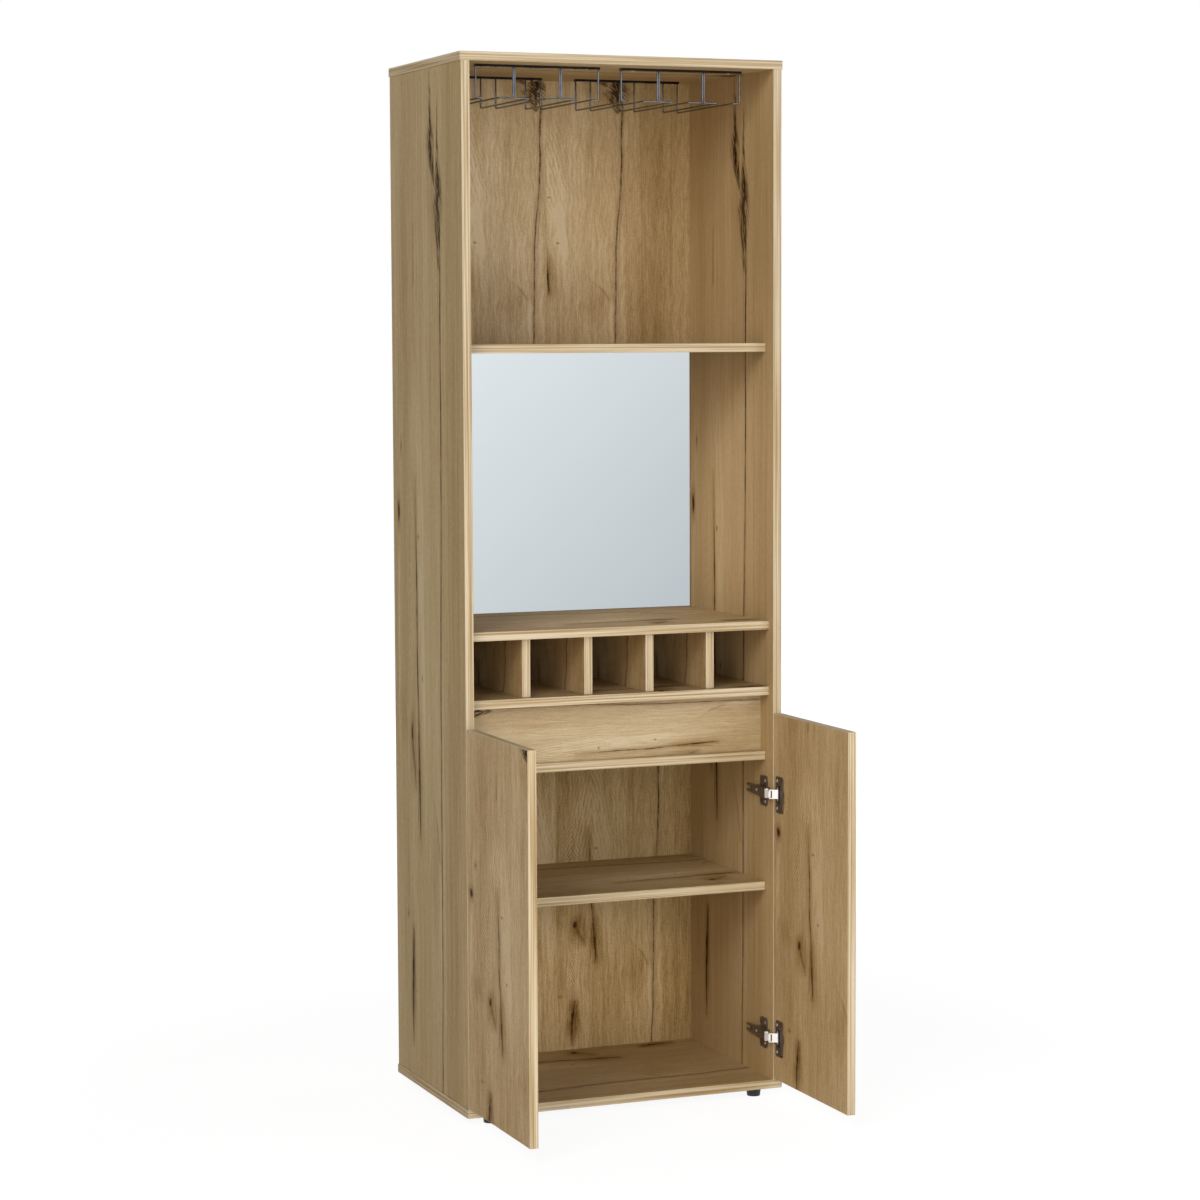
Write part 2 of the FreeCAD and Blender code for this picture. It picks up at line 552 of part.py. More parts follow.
# Concealed cup hinges. The doors stand open at a right angle, in front of the side edges.
def link_blank(name):
    # A bar with round ends on the two pin axes, padded to both sides of its middle plane.
    body = doc.addObject("PartDesign::Body", name)
    sketch = body.newObject("Sketcher::SketchObject", name + "Profile")
    sketch.AttachmentSupport = [(next(f for f in body.Origin.OriginFeatures if f.Role == "XY_Plane"), "")]
    sketch.MapMode = "FlatFace"
    span, eye = place("link_length"), size("link_eye")
    axis = FreeCAD.Vector(0, 0, 1)
    near = Part.Circle(FreeCAD.Vector(0, 0, 0), axis, eye)
    far = Part.Circle(FreeCAD.Vector(span, 0, 0), axis, eye)
    sketch.addGeometry([
        Part.ArcOfCircle(near, math.pi / 2, 3 * math.pi / 2),
        Part.ArcOfCircle(far, -math.pi / 2, math.pi / 2),
        Part.LineSegment(FreeCAD.Vector(0, -eye, 0), FreeCAD.Vector(span, -eye, 0)),
        Part.LineSegment(FreeCAD.Vector(span, eye, 0), FreeCAD.Vector(0, eye, 0)),
    ], False)
    sketch.addConstraint([
        Sketcher.Constraint("Coincident", 0, 3, -1, 1),
        Sketcher.Constraint("PointOnObject", 1, 3, -1),
        Sketcher.Constraint("Tangent", 0, 2, 2, 1),
        Sketcher.Constraint("Tangent", 2, 2, 1, 1),
        Sketcher.Constraint("Tangent", 1, 2, 3, 1),
        Sketcher.Constraint("Tangent", 3, 2, 0, 1),
        Sketcher.Constraint("Radius", 0, eye),
        Sketcher.Constraint("DistanceX", 0, 3, 1, 3, span),
    ])
    sketch.setExpression("Constraints[6]", "Dims.link_eye")
    sketch.setExpression("Constraints[7]", "Places.link_length")
    pad = body.newObject("PartDesign::Pad", name + "Pad")
    pad.Profile = sketch
    pad.SideType = "Symmetric"
    pad.setExpression("Length", "Dims.link_height")
    return body


DOOR_EDGE = "Places.front - Dims.open_gap"
HINGES = [("upper", "Places.upper_hinge_z"), ("lower", "Places.lower_hinge_z")]
TONGUE = "(Dims.link_height - 2 * Dims.link_cheek - 2 * Dims.link_play)"
CLEVIS = "(Dims.link_height - 2 * Dims.link_cheek)"
# Half the length of a cup pin, whose ends sit halfway into the wall of the cup.
CHORD = ("sqrt((Dims.cup_radius - Dims.cup_wall / 2) ^ 2"
         " - (Dims.pin_inset + Dims.pin_radius + Dims.pin_play) ^ 2)")
plate_screws, saddle_screws, arm_pins = [], [], []


def small_screw(side, radius, depth, seat, y, z):
    # Shank from `depth` in the wood to `seat`, with a flat head on the seat; also its bore.
    head = seat + " + Dims.small_head_height"
    shape = fuse(cross_rod(side, radius, "-" + depth, seat, y, z),
                 cross_rod(side, "Dims.small_head_radius", seat, head, y, z))
    bore = cross_rod(side, radius + " + Dims.hole_play", "-%s - Dims.hole_play" % depth, seat, y, z)
    return shape, bore


for side_word, side in SIDES:
    cup_screws, cup_pins, door_holes = [], [], []
    for level_word, z in HINGES:
        name = "%s_%s_hinge_" % (level_word, side_word)
        pin_x, pin_y = cross_x(side, "Places.arm_pin_u"), "Places.front - Places.arm_pin_v"
        arm_low, arm_high = "Places.arm_pin_u - Dims.arm_eye", "Places.arm_pin_u + Dims.arm_eye"

        # Mounting plate on the side: two slotted wings and a raised rail
        wing_mid = "-Dims.plate_setback"
        wings = rounded(cross_block(side, "0", "Dims.plate_thickness",
                                    wing_mid + " + Dims.plate_width / 2", z, "Dims.plate_width",
                                    "Dims.plate_height"), "plate_corner")
        rail = cross_block(side, "0", "Dims.rail_height", "-Dims.saddle_front", z,
                           "Dims.rail_length", "Dims.rail_width")
        plate_cuts = []
        for end in (-1, 1):
            screw_y = "Places.front + Dims.plate_setback - Dims.plate_screw_offset"
            screw_z = "%s + %d * Dims.plate_screw_spacing / 2" % (z, end)
            screw, bore = small_screw(side, "Dims.plate_screw_radius", "Dims.plate_screw_depth",
                                      "Dims.plate_thickness", screw_y, screw_z)
            plate_screws.append(screw)
            holes[side_word + "_side"].append(bore)
            slot = cross_block(side, "0", "Dims.plate_thickness",
                               wing_mid + " - Dims.plate_slot", screw_z, "Dims.plate_slot",
                               "(Dims.plate_height - Dims.plate_screw_spacing) / 2")
            plate_cuts += [bore, slot]

        # Saddle on the rail, narrower and notched at its back end, and the arm on the saddle
        saddle = doc.addObject("Part::Wedge", "Saddle")
        saddle_low = cross_x(side, "Dims.rail_height" if side < 0 else arm_low)
        bind(saddle, ("Xmin", "X2min", "Xmax", "X2max"), ("0", "0") + (arm_low + " - Dims.rail_height",) * 2)
        bind(saddle, ("Ymin", "Ymax"), ("0", "Dims.saddle_length - Dims.saddle_front"))
        bind(saddle, ("Zmin", "Zmax", "Z2min", "Z2max"),
             ("-Dims.saddle_height / 2", "Dims.saddle_height / 2", "-Dims.saddle_tail / 2",
              "Dims.saddle_tail / 2"))
        bind(saddle, BASE, (saddle_low, "Places.front + Dims.saddle_front", z))
        notch = cross_block(side, "Dims.rail_height", arm_low,
                            "Dims.saddle_notch - Dims.saddle_length", z, "Dims.saddle_notch",
                            "Dims.saddle_slot")
        window = cross_block(side, "Dims.rail_height", arm_low,
                             "Dims.window_setback + Dims.window_width / 2 - Dims.saddle_length", z,
                             "Dims.window_width", "Dims.window_height")
        saddle_y = "Places.front + Dims.saddle_screw_setback"
        screw_low = "Dims.rail_height - Dims.saddle_screw_depth"
        saddle_screws.append(fuse(
            cross_rod(side, "Dims.saddle_screw_radius", screw_low, arm_low, saddle_y, z),
            cross_rod(side, "Dims.small_head_radius", arm_low, arm_low + " + Dims.small_head_height",
                      saddle_y, z)))
        screw_bore = cross_rod(side, "Dims.saddle_screw_radius + Dims.hole_play",
                               screw_low + " - Dims.hole_play", arm_low, saddle_y, z)
        node(name + "plate", cut(fuse(wings, rail), screw_bore, *plate_cuts))
        node(name + "saddle", cut(saddle, notch, window, screw_bore))

        shoulder = cross_block(side, arm_low, arm_high, "-Dims.tongue_root", z,
                               "Dims.arm_length - Dims.tongue_root", "Dims.link_height")
        tongue = cross_block(side, arm_low, arm_high, "Places.arm_pin_v", z,
                             "Places.arm_pin_v + Dims.tongue_root", TONGUE)
        tongue_end = rod("Dims.arm_eye", TONGUE, (pin_x, pin_y, "%s - %s / 2" % (z, TONGUE)), "z")
        pin_low = z + " - Dims.link_height / 2"
        arm_pins.append(rod("Dims.pin_radius", "Dims.link_height", (pin_x, pin_y, pin_low), "z"))
        pin_bore = rod("Dims.pin_radius + Dims.pin_play", "Dims.link_height", (pin_x, pin_y, pin_low), "z")
        node(name + "arm", cut(fuse(shoulder, tongue, tongue_end), pin_bore))

        # Link from the arm pin to the cup pin, forked round the tongue of the arm
        link = link_blank(name.title().replace("_", "") + "Link")
        heading = math.degrees(math.atan2(-place("link_v"), -side * place("link_u")))
        turn = FreeCAD.Rotation(FreeCAD.Vector(0, 0, 1), heading)
        link.Placement = FreeCAD.Placement(FreeCAD.Vector(), turn)
        bind(link, BASE, (pin_x, pin_y, z))
        fork = rod("Dims.arm_eye + Dims.link_play + Dims.link_eye", CLEVIS,
                   (pin_x, pin_y, "%s - %s / 2" % (z, CLEVIS)), "z")
        cup_x, cup_y = cross_x(side, "Places.cup_pin_u"), "Places.front - Places.cup_pin_v"
        chord_low = "%s - %s" % (z, CHORD)
        cup_pins.append(rod("Dims.pin_radius", "2 * " + CHORD, (cup_x, cup_y, chord_low), "z"))
        cup_bore = rod("Dims.pin_radius + Dims.pin_play", "2 * " + CHORD, (cup_x, cup_y, chord_low), "z")
        node(name + "link", cut(link, fork, pin_bore, cup_bore))

        # Cup in the door with its rim, ears, rib and the notch that lets the link out
        axis_y = DOOR_EDGE + " - Dims.cup_setback"
        ears_v = "Dims.open_gap + Dims.flange_setback + Dims.flange_width"
        shell = fuse(
            cross_rod(side, "Dims.cup_radius", "-Dims.cup_depth", "Dims.flange_thickness", axis_y, z),
            cross_rod(side, "Dims.rim_radius", "0", "Dims.flange_thickness", axis_y, z),
            rounded(cross_block(side, "0", "Dims.flange_thickness", ears_v, z, "Dims.flange_width",
                                "Dims.flange_height"), "flange_corner"))
        hollow = cross_rod(side, "Dims.cup_radius - Dims.cup_wall", "Dims.cup_wall - Dims.cup_depth",
                           "Dims.flange_thickness", axis_y, z)
        mouth = cross_block(side, "-Dims.notch_depth", "Dims.flange_thickness",
                            "Dims.open_gap + Dims.cup_setback", z, "Dims.pin_inset + Dims.notch_reach",
                            "(Dims.link_height + 2 * Dims.notch_play)")
        rib = cross_block(side, "0", "Dims.rib_height", ears_v, z, "Dims.rib_width",
                          "(Dims.flange_height - 2 * Dims.flange_corner)")
        ear_bores = []
        for end in (-1, 1):
            screw, bore = small_screw(side, "Dims.cup_screw_radius", "Dims.cup_screw_depth",
                                      "Dims.flange_thickness", DOOR_EDGE + " - Dims.cup_screw_setback",
                                      "%s + %d * Dims.cup_screw_spacing / 2" % (z, end))
            cup_screws.append(screw)
            ear_bores.append(bore)
        node(name + "cup", cut(fuse(cut(shell, hollow, mouth), rib), cup_bore, *ear_bores))
        door_holes += ear_bores
        door_holes.append(cross_rod(side, "Dims.cup_radius + Dims.hole_play",
                                    "-Dims.cup_depth - Dims.hole_play", "0", axis_y, z))
    node(side_word + "_cup_screws", together(cup_screws))
    node(side_word + "_cup_pins", together(cup_pins))

    slab = eased(block(("Dims.board", "Places.door_width", "Places.door_height"),
                       (cross_x(side, "-Dims.board" if side < 0 else "0"),
                        DOOR_EDGE + " - Places.door_width", "Places.door_z")),
                 ["-x", "+x", "-y", "+y", "-z", "+z"])
    node(side_word + "_door", cut(slab, *door_holes))
node("plate_screws", together(plate_screws))
node("saddle_screws", together(saddle_screws))
node("arm_pins", together(arm_pins))

for name, board in boards.items():
    node(name, cut(board, *holes[name]) if holes[name] else board)

doc.recompute()
failed = [thing.Name for thing in doc.Objects if "Invalid" in thing.State or "Error" in thing.State]
if failed:
    raise RuntimeError("did not compute: " + ", ".join(failed))
os.makedirs("parts", exist_ok=True)
for label, thing in nodes.items():
    if thing.Shape.isNull() or not thing.Shape.isValid():
        raise RuntimeError("bad shape: " + label)
for label, thing in nodes.items():
    thing.Shape.exportStep(os.path.join("parts", label + ".step"))
    print("%-28s %2d solids %12.1f mm3" % (label, len(thing.Shape.Solids), thing.Shape.Volume))
print(len(nodes), "nodes")
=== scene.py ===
import math
import bpy
from mathutils import Matrix, Vector


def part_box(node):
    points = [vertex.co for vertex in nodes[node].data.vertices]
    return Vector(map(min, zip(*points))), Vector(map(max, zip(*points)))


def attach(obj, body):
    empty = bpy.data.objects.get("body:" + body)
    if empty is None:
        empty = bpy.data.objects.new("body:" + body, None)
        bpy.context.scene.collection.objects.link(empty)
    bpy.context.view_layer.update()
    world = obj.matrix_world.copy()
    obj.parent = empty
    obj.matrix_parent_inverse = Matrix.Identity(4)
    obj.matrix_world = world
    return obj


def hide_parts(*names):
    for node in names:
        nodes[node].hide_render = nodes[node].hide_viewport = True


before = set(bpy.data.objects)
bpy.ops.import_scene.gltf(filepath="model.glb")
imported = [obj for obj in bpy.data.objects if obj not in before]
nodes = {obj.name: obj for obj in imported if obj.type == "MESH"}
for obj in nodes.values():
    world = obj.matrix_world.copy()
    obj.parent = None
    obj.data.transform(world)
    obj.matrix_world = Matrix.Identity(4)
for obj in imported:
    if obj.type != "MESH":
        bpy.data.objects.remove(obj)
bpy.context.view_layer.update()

mm = 1000                                                       # millimetres in a metre

# Node kinds that come up often. A mix has its share at socket 0, numbers at 2 and 3 and colours at 6 and 7,
# and a remap lists the value, the range it comes from and the range it goes to
calc = "ShaderNodeMath"
vectorCalc = "ShaderNodeVectorMath"
remap = "ShaderNodeMapRange"
mix = "ShaderNodeMix"
noise = "ShaderNodeTexNoise"
colorRamp = "ShaderNodeValToRGB"
split = "ShaderNodeSeparateXYZ"
join = "ShaderNodeCombineXYZ"
texturePlace = "ShaderNodeTexCoord"


def linear(text):
    # An sRGB hex value as linear red, green and blue, with full alpha
    channels = [int(text[i:i + 2], 16) / 255 for i in (1, 3, 5)]
    return [c / 12.92 if c <= 0.04045 else ((c + 0.055) / 1.055) ** 2.4 for c in channels] + [1]


def addNode(tree, kind, inputs=(), stops=(), **settings):
    # Adds a node with its settings, inputs and colour stops, and gives its first output in use
    node = tree.nodes.new(kind)
    for name, value in settings.items():
        setattr(node, name, value)
    for key, value in (inputs.items() if isinstance(inputs, dict) else enumerate(inputs)):
        if isinstance(value, bpy.types.NodeSocket):
            tree.links.new(value, node.inputs[key])
        else:
            node.inputs[key].default_value = value
    if stops:
        elements = node.color_ramp.elements
        for _ in stops[2:]:                                     # a new ramp has two stops
            elements.new(0.5)
        for element, (place, color) in zip(elements, stops):
            element.position = place
            element.color = linear(color) if isinstance(color, str) else color
    return next((output for output in node.outputs if output.enabled), node)


def stretchedNoise(tree, across, along, wide, long, seed, detail=2):
    # Noise whose marks are about `wide` by `long` millimetres
    sideways = addNode(tree, calc, [across, wide], operation="DIVIDE")
    upwards = addNode(tree, calc, [along, long], operation="DIVIDE")
    spot = addNode(tree, join, [sideways, upwards, seed])
    return addNode(tree, noise, {"Vector": spot, "Scale": 1, "Detail": detail})


def squaredRadius(tree, across, along, spot):
    # 0 in the middle of a spot and 1 on its rim; the spot gives its middle and its radii
    p, q, wide, tall = spot
    sideways = addNode(tree, calc, [across, 1 / wide, -p / wide], operation="MULTIPLY_ADD")
    upwards = addNode(tree, calc, [along, 1 / tall, -q / tall], operation="MULTIPLY_ADD")
    square = addNode(tree, calc, [sideways, sideways], operation="MULTIPLY")
    return addNode(tree, calc, [upwards, upwards, square], operation="MULTIPLY_ADD")


def startMaterial(name):
    material = bpy.data.materials.new(name)
    material.use_nodes = True
    material.node_tree.nodes.clear()
    return material, material.node_tree


def endMaterial(tree, inputs, height, depth):
    # Principled surface with a bump of the given depth in metres
    bump = addNode(tree, "ShaderNodeBump", {"Strength": 1, "Distance": depth, "Height": height})
    surface = addNode(tree, "ShaderNodeBsdfPrincipled", {**inputs, "Normal": bump})
    addNode(tree, "ShaderNodeOutputMaterial", {"Surface": surface})


# Printed oak decor: one sheet of rustic planks, laid out in millimetres across and along the grain
oakDecor = {
    "tones": [(0.0, "#7f643c"), (0.25, "#a3895c"), (0.5, "#bba278"), (0.75, "#d0bc95")],
    "stain": "#7b5527",
    "crack": "#2a1c0d",
    "sheet": 520,                                               # width after which the planks come again
    # smooth lines up the grain, each a run of points: across, along, half width, darkness
    "lines": [
        [(339, -60, 2.0, 0.8), (348, 105, 2.3, 0.8), (349, 250, 2.3, 0.8), (350, 337, 2.3, 0.8),
         (361, 482, 2.5, 0.85), (363, 554, 2.6, 0.85), (362, 625, 2.8, 0.9), (365, 675, 3.2, 0.9),
         (365, 703, 3.2, 0.9), (360, 720, 1.6, 0.6)],           # long seam
        [(356, 320, 1.4, 0.25), (361, 400, 1.6, 0.4), (364, 470, 1.3, 0.35)],
        [(352, 560, 1.4, 0.12), (350, 640, 2.6, 0.25), (351, 690, 2.6, 0.25)],
        [(199, 200, 2.0, 0.8), (198, 240, 4.2, 0.95), (193, 296, 3.2, 0.9), (187, 345, 2.8, 0.85),
         (186, 425, 2.8, 0.85), (181, 500, 1.0, 0.4)],          # crack of the doors
        [(185, 212, 1.4, 0.4), (190, 268, 1.4, 0.4)],
        [(137, 22, 1.4, 0.6), (136, 56, 4.0, 0.9), (139, 86, 5.0, 0.95), (146, 117, 1.8, 0.9)],
        [(145, 48, 1.3, 0.4), (149, 108, 1.6, 0.5)],
        [(334, 186, 1.8, 0.3), (318, 214, 2.4, 0.38), (290, 240, 0.8, 0.15)],
        [(171, 240, 3.5, 0.25), (160, 262, 6.5, 0.42), (148, 286, 4.0, 0.6)],       # tail of a knot
        [(181, 662, 2.6, 0.3), (181, 708, 1.2, 0.25)],
        [(408, 60, 0.5, 0.3), (406, 690, 0.5, 0.3)],
        [(472, 200, 0.6, 0.25), (475, 740, 0.6, 0.3)],
        [(519.4, -90, 0.5, 0.5), (519.4, 900, 0.5, 0.5)],       # edge of the sheet
    ],
    # splintered nests, given in the same way
    "nests": [
        [(328, 741, 4, 0.8), (316, 754, 11, 1.0), (304, 773, 15, 1.0), (307, 793, 8, 0.9),
         (301, 830, 3, 0.4)],
        [(354, 688, 6, 0.8), (355, 711, 15, 0.9), (350, 722, 20, 0.9), (356, 732, 16, 0.95),
         (354, 746, 12, 1.0), (351, 762, 6, 0.85), (353, 806, 2, 0.35)],
        [(354, 672, 3, 0.6), (349, 692, 8, 0.9), (338, 702, 5, 0.8), (344, 711, 6, 0.8),
         (333, 726, 4, 0.7)],
    ],
    # across, along, radii, darkness
    "knots": [(62, 470, 7, 8.5, 0.95), (200, 451, 3, 1.6, 0.6), (219, 333, 2.6, 2.0, 0.55),
              (147, 285, 6, 8, 0.9), (83, 525, 4.5, 5, 0.4), (106, 129, 6, 2.6, 0.35),
              (298, 771, 5, 6, 0.9)],
    # across, along, radii, darker (or lighter, where negative)
    "stains": [(88, 298, 28, 34, 0.35), (156, 272, 34, 48, 0.6), (140, 76, 24, 62, 0.75),
               (318, 738, 42, 62, 0.45), (200, 250, 22, 76, 0.5), (214, 420, 30, 210, -0.55),
               (60, 380, 14, 130, -0.4), (233, 310, 7, 120, -0.4), (334, 748, 9, 40, -0.7),
               (300, 170, 36, 70, 0.3), (341, 110, 5, 100, -0.6), (120, 640, 46, 130, 0.25),
               (258, 120, 30, 170, 0.2), (180, 545, 34, 60, -0.3)],
    # across, along from and to, half width, pitch, slope and strength of the arches
    "arches": [(140, 300, 530, 34, 11, 1.4, 0.62), (138, 130, 246, 18, 8, 1.3, 0.55),
               (188, 370, 680, 74, 34, 3.7, 0.36)],
    # fine grain in layers: width and length of the marks, seed, share of the tone
    "grain": [(9, 240, 2.2, 0.3), (3, 70, 6.1, 0.42), (1.6, 24, 9.6, 0.44), (6, 4, 4.9, 0.26)],
    # other noises: width and length of the marks, seed, detail
    "noises": {
        "slow": (90, 60, 3.1, 2),                               # drift of the grain and the lines
        "quick": (26, 8, 8.4, 2),                               # ragged edges
        "breaks": (60, 26, 6.6, 3),                             # weak places in the lines
        "torn": (6, 15, 5.7, 4),                                # torn filling of the nests
        "veins": (11, 34, 2.9, 2),                              # thin cracks in and round the nests
        "plank": (75, 700, 1.3, 2),                             # broad tone
        "streaks": (8, 34, 7.3, 2),                             # streaks in the stains
        "pores": (0.8, 9, 4.4, 1),                              # coarser than real ones, so that they show
    },
    "drift": {"grain": 13, "lines": 5, "nests": 8},             # reach across the grain
    "ends": (6, 0.3),                                           # length of a thin end, width left there
    "rampScale": (1000, 100),                                   # fits places and widths into a colour
    "swell": (60, 80),                                          # percent of a width: least, and by noise
    "breakRange": (0.36, 0.56, 0.4, 1),                         # noise, darkness left
    "softness": 0.6,                                            # of a line's edge, in half widths
    "lineHalo": (3, 2.2),                                       # reach, and more for each half width
    "veinLean": 0.8,                                            # across for each millimetre along
    "veinRange": (0.085, 0.03, 0, 0.95),                        # distance from a vein, darkness
    "tear": 1.5,                                                # share of the noise in a nest's rim
    "filled": (1.42, 1.54),                                     # where a nest is open, and full
    "nestHalo": (0.7, 0.75),                                    # fall and level round a nest
    "knotCore": (1.5, 0.2),                                     # squared radii: none, and full
    "knotHalo": (7, 0.7),
    "plankTone": (0.42, 0.29),                                  # share of the noise, lowest tone
    "darkPlank": (368, 376, 0, -0.09),                          # across, change of tone
    "stainDepth": 0.4,
    "streakRange": (0.3, 0.7, 0.45, 1.4),                       # noise, strength of the stains
    "archDrift": 40,
    "archCore": 0.3,                                            # share of the width at full strength
    "poreRange": (0.6, 0.74),                                   # noise: none, and full
    "poreTone": -0.12,
    "middleTone": 0.5,                                          # stays where the contrast changes
    "haloShare": 0.5,
    "crackDepth": 1.2,
    "roughness": (0.15, 0.5),                                   # more in pores and cracks, and elsewhere
}


def makeDecor():
    tree = bpy.data.node_groups.new("oakDecor", "ShaderNodeTree")
    for name in ("Across", "Along", "Contrast", "Line width"):
        tree.interface.new_socket(name, in_out="INPUT", socket_type="NodeSocketFloat")
    for name, kind in (("Color", "Color"), ("Height", "Float"), ("Roughness", "Float")):
        tree.interface.new_socket(name, in_out="OUTPUT", socket_type="NodeSocket" + kind)
    across, along, contrast, lineWidth = tree.nodes.new("NodeGroupInput").outputs[:4]
    across = addNode(tree, calc, [across, oakDecor["sheet"], 0], operation="WRAP")
    placeScale, widthScale = oakDecor["rampScale"]

    def layer(name, start):
        return stretchedNoise(tree, start, along, *oakDecor["noises"][name])

    def drifting(source, name):
        # The place across the grain, moved to and fro by a noise
        reach = oakDecor["drift"][name]
        shift = addNode(tree, calc, [source, reach, -reach / 2], operation="MULTIPLY_ADD")
        return addNode(tree, calc, [shift, across])

    def follow(run, start):
        # Distance from a run of points, its half width and its darkness at this height; the three are
        # the channels of one colour ramp, and the width stays in the scale of the ramp
        taper, thin = oakDecor["ends"]
        (p0, q0, w0, _), (p1, q1, w1, _) = run[0], run[-1]
        points = [(p0, q0 - taper, thin * w0, 0)] + run + [(p1, q1 + taper, thin * w1, 0)]
        low = q0 - taper
        span = q1 + taper - low
        part = addNode(tree, calc, [along, 1 / span, -low / span], operation="MULTIPLY_ADD", use_clamp=True)
        stops = [((q - low) / span, (p / placeScale, w / widthScale, d, 1)) for p, q, w, d in points]
        track = addNode(tree, colorRamp, [part], stops)
        line, width, shade = addNode(tree, "ShaderNodeSeparateColor", [track]).node.outputs
        off = addNode(tree, calc, [line, -placeScale, start], operation="MULTIPLY_ADD")
        return addNode(tree, calc, [off], operation="ABSOLUTE"), width, shade

    slow = layer("slow", across)
    quick = layer("quick", across)
    flowing = drifting(slow, "grain")
    wavy = drifting(slow, "lines")
    jagged = drifting(quick, "nests")
    darkest = near = 0.0                                        # cracks, and the stain beside them

    # Lines: their width swells and they fade in places
    least, swell = oakDecor["swell"]
    haloLeast, haloMore = oakDecor["lineHalo"]
    thick = addNode(tree, calc, [quick, swell, least], operation="MULTIPLY_ADD")
    thick = addNode(tree, calc, [thick, lineWidth], operation="MULTIPLY")
    broken = addNode(tree, remap, [layer("breaks", across), *oakDecor["breakRange"]])
    for run in oakDecor["lines"]:
        off, width, shade = follow(run, wavy)
        widest = max(w for _, _, w, _ in run)
        half = addNode(tree, calc, [width, thick], operation="MULTIPLY")
        inside = addNode(tree, calc, [half, off], operation="SUBTRACT")
        sharp = 1 / (oakDecor["softness"] * widest)
        inside = addNode(tree, calc, [inside, sharp], operation="MULTIPLY", use_clamp=True)
        mask = addNode(tree, calc, [inside, shade], operation="MULTIPLY")
        mask = addNode(tree, calc, [mask, broken], operation="MULTIPLY")
        darkest = addNode(tree, calc, [darkest, mask], operation="MAXIMUM")
        halo = addNode(tree, calc, [off, -1 / (haloLeast + haloMore * widest), 1], operation="MULTIPLY_ADD")
        halo = addNode(tree, calc, [halo, shade], operation="MULTIPLY")
        near = addNode(tree, calc, [near, halo], operation="MAXIMUM")

    # Nests: a torn filling, and veins that lean across the grain
    torn = layer("torn", jagged)
    leaning = addNode(tree, calc, [along, oakDecor["veinLean"], jagged], operation="MULTIPLY_ADD")
    veins = addNode(tree, calc, [layer("veins", leaning), 0.5], operation="SUBTRACT")   # middle of the noise
    veins = addNode(tree, calc, [veins], operation="ABSOLUTE")
    veins = addNode(tree, remap, [veins, *oakDecor["veinRange"]])
    for run in oakDecor["nests"]:
        off, width, shade = follow(run, jagged)
        body = addNode(tree, calc, [off, width], operation="DIVIDE")
        body = addNode(tree, calc, [body, -1 / widthScale, 1], operation="MULTIPLY_ADD")
        filled = addNode(tree, calc, [torn, oakDecor["tear"], body], operation="MULTIPLY_ADD")
        filled = addNode(tree, remap, [filled, *oakDecor["filled"], 0, shade])
        around = addNode(tree, calc, [body, *oakDecor["nestHalo"]], operation="MULTIPLY_ADD", use_clamp=True)
        around = addNode(tree, calc, [around, shade], operation="MULTIPLY")
        wisps = addNode(tree, calc, [veins, around], operation="MULTIPLY")
        for mask in (filled, wisps):
            darkest = addNode(tree, calc, [darkest, mask], operation="MAXIMUM")
        near = addNode(tree, calc, [near, around], operation="MAXIMUM")
    for *spot, dark in oakDecor["knots"]:
        radius = squaredRadius(tree, jagged, along, spot)
        core = addNode(tree, remap, [radius, *oakDecor["knotCore"], 0, dark])
        darkest = addNode(tree, calc, [darkest, core], operation="MAXIMUM")
        halo = addNode(tree, remap, [radius, *oakDecor["knotHalo"], 0, dark])
        near = addNode(tree, calc, [near, halo], operation="MAXIMUM")

    # Tone: broad planks, layers of grain, streaky stains, arches and pores
    tone = addNode(tree, calc, [layer("plank", flowing), *oakDecor["plankTone"]], operation="MULTIPLY_ADD")
    for wide, long, seed, share in oakDecor["grain"]:
        marks = stretchedNoise(tree, flowing, along, wide, long, seed)
        marks = addNode(tree, calc, [marks, share, -share / 2], operation="MULTIPLY_ADD")
        tone = addNode(tree, calc, [marks, tone])
    plank = addNode(tree, remap, [flowing, *oakDecor["darkPlank"]])
    tone = addNode(tree, calc, [tone, plank])
    clouds = 0.0
    for *spot, dark in oakDecor["stains"]:
        radius = squaredRadius(tree, flowing, along, spot)
        cloud = addNode(tree, remap, [radius, 1, 0, 0, -oakDecor["stainDepth"] * dark],
                        interpolation_type="SMOOTHSTEP")
        clouds = addNode(tree, calc, [clouds, cloud])
    streaks = addNode(tree, remap, [layer("streaks", flowing), *oakDecor["streakRange"]])
    tone = addNode(tree, calc, [clouds, streaks, tone], operation="MULTIPLY_ADD")
    for p, low, high, width, pitch, slope, strength in oakDecor["arches"]:
        off = addNode(tree, calc, [flowing, p], operation="SUBTRACT")
        off = addNode(tree, calc, [off], operation="ABSOLUTE")
        crest = addNode(tree, calc, [off, slope, along], operation="MULTIPLY_ADD")
        crest = addNode(tree, calc, [slow, oakDecor["archDrift"], crest], operation="MULTIPLY_ADD")
        wave = addNode(tree, calc, [crest, math.tau / pitch], operation="MULTIPLY")
        wave = addNode(tree, calc, [wave], operation="SINE")
        part = addNode(tree, remap, [along, low, high])
        rest = addNode(tree, calc, [1.0, part], operation="SUBTRACT")
        window = addNode(tree, calc, [part, rest], operation="MULTIPLY")
        side = addNode(tree, remap, [off, width, oakDecor["archCore"] * width, 0, strength])
        window = addNode(tree, calc, [window, side], operation="MULTIPLY")
        drawn = addNode(tree, calc, [wave, window], operation="MULTIPLY")
        tone = addNode(tree, calc, [tone, drawn])
    pores = addNode(tree, remap, [layer("pores", flowing), *oakDecor["poreRange"]])
    tone = addNode(tree, calc, [pores, oakDecor["poreTone"], tone], operation="MULTIPLY_ADD")
    tone = addNode(tree, calc, [tone, oakDecor["middleTone"]], operation="SUBTRACT")
    tone = addNode(tree, calc, [tone, contrast, oakDecor["middleTone"]], operation="MULTIPLY_ADD")

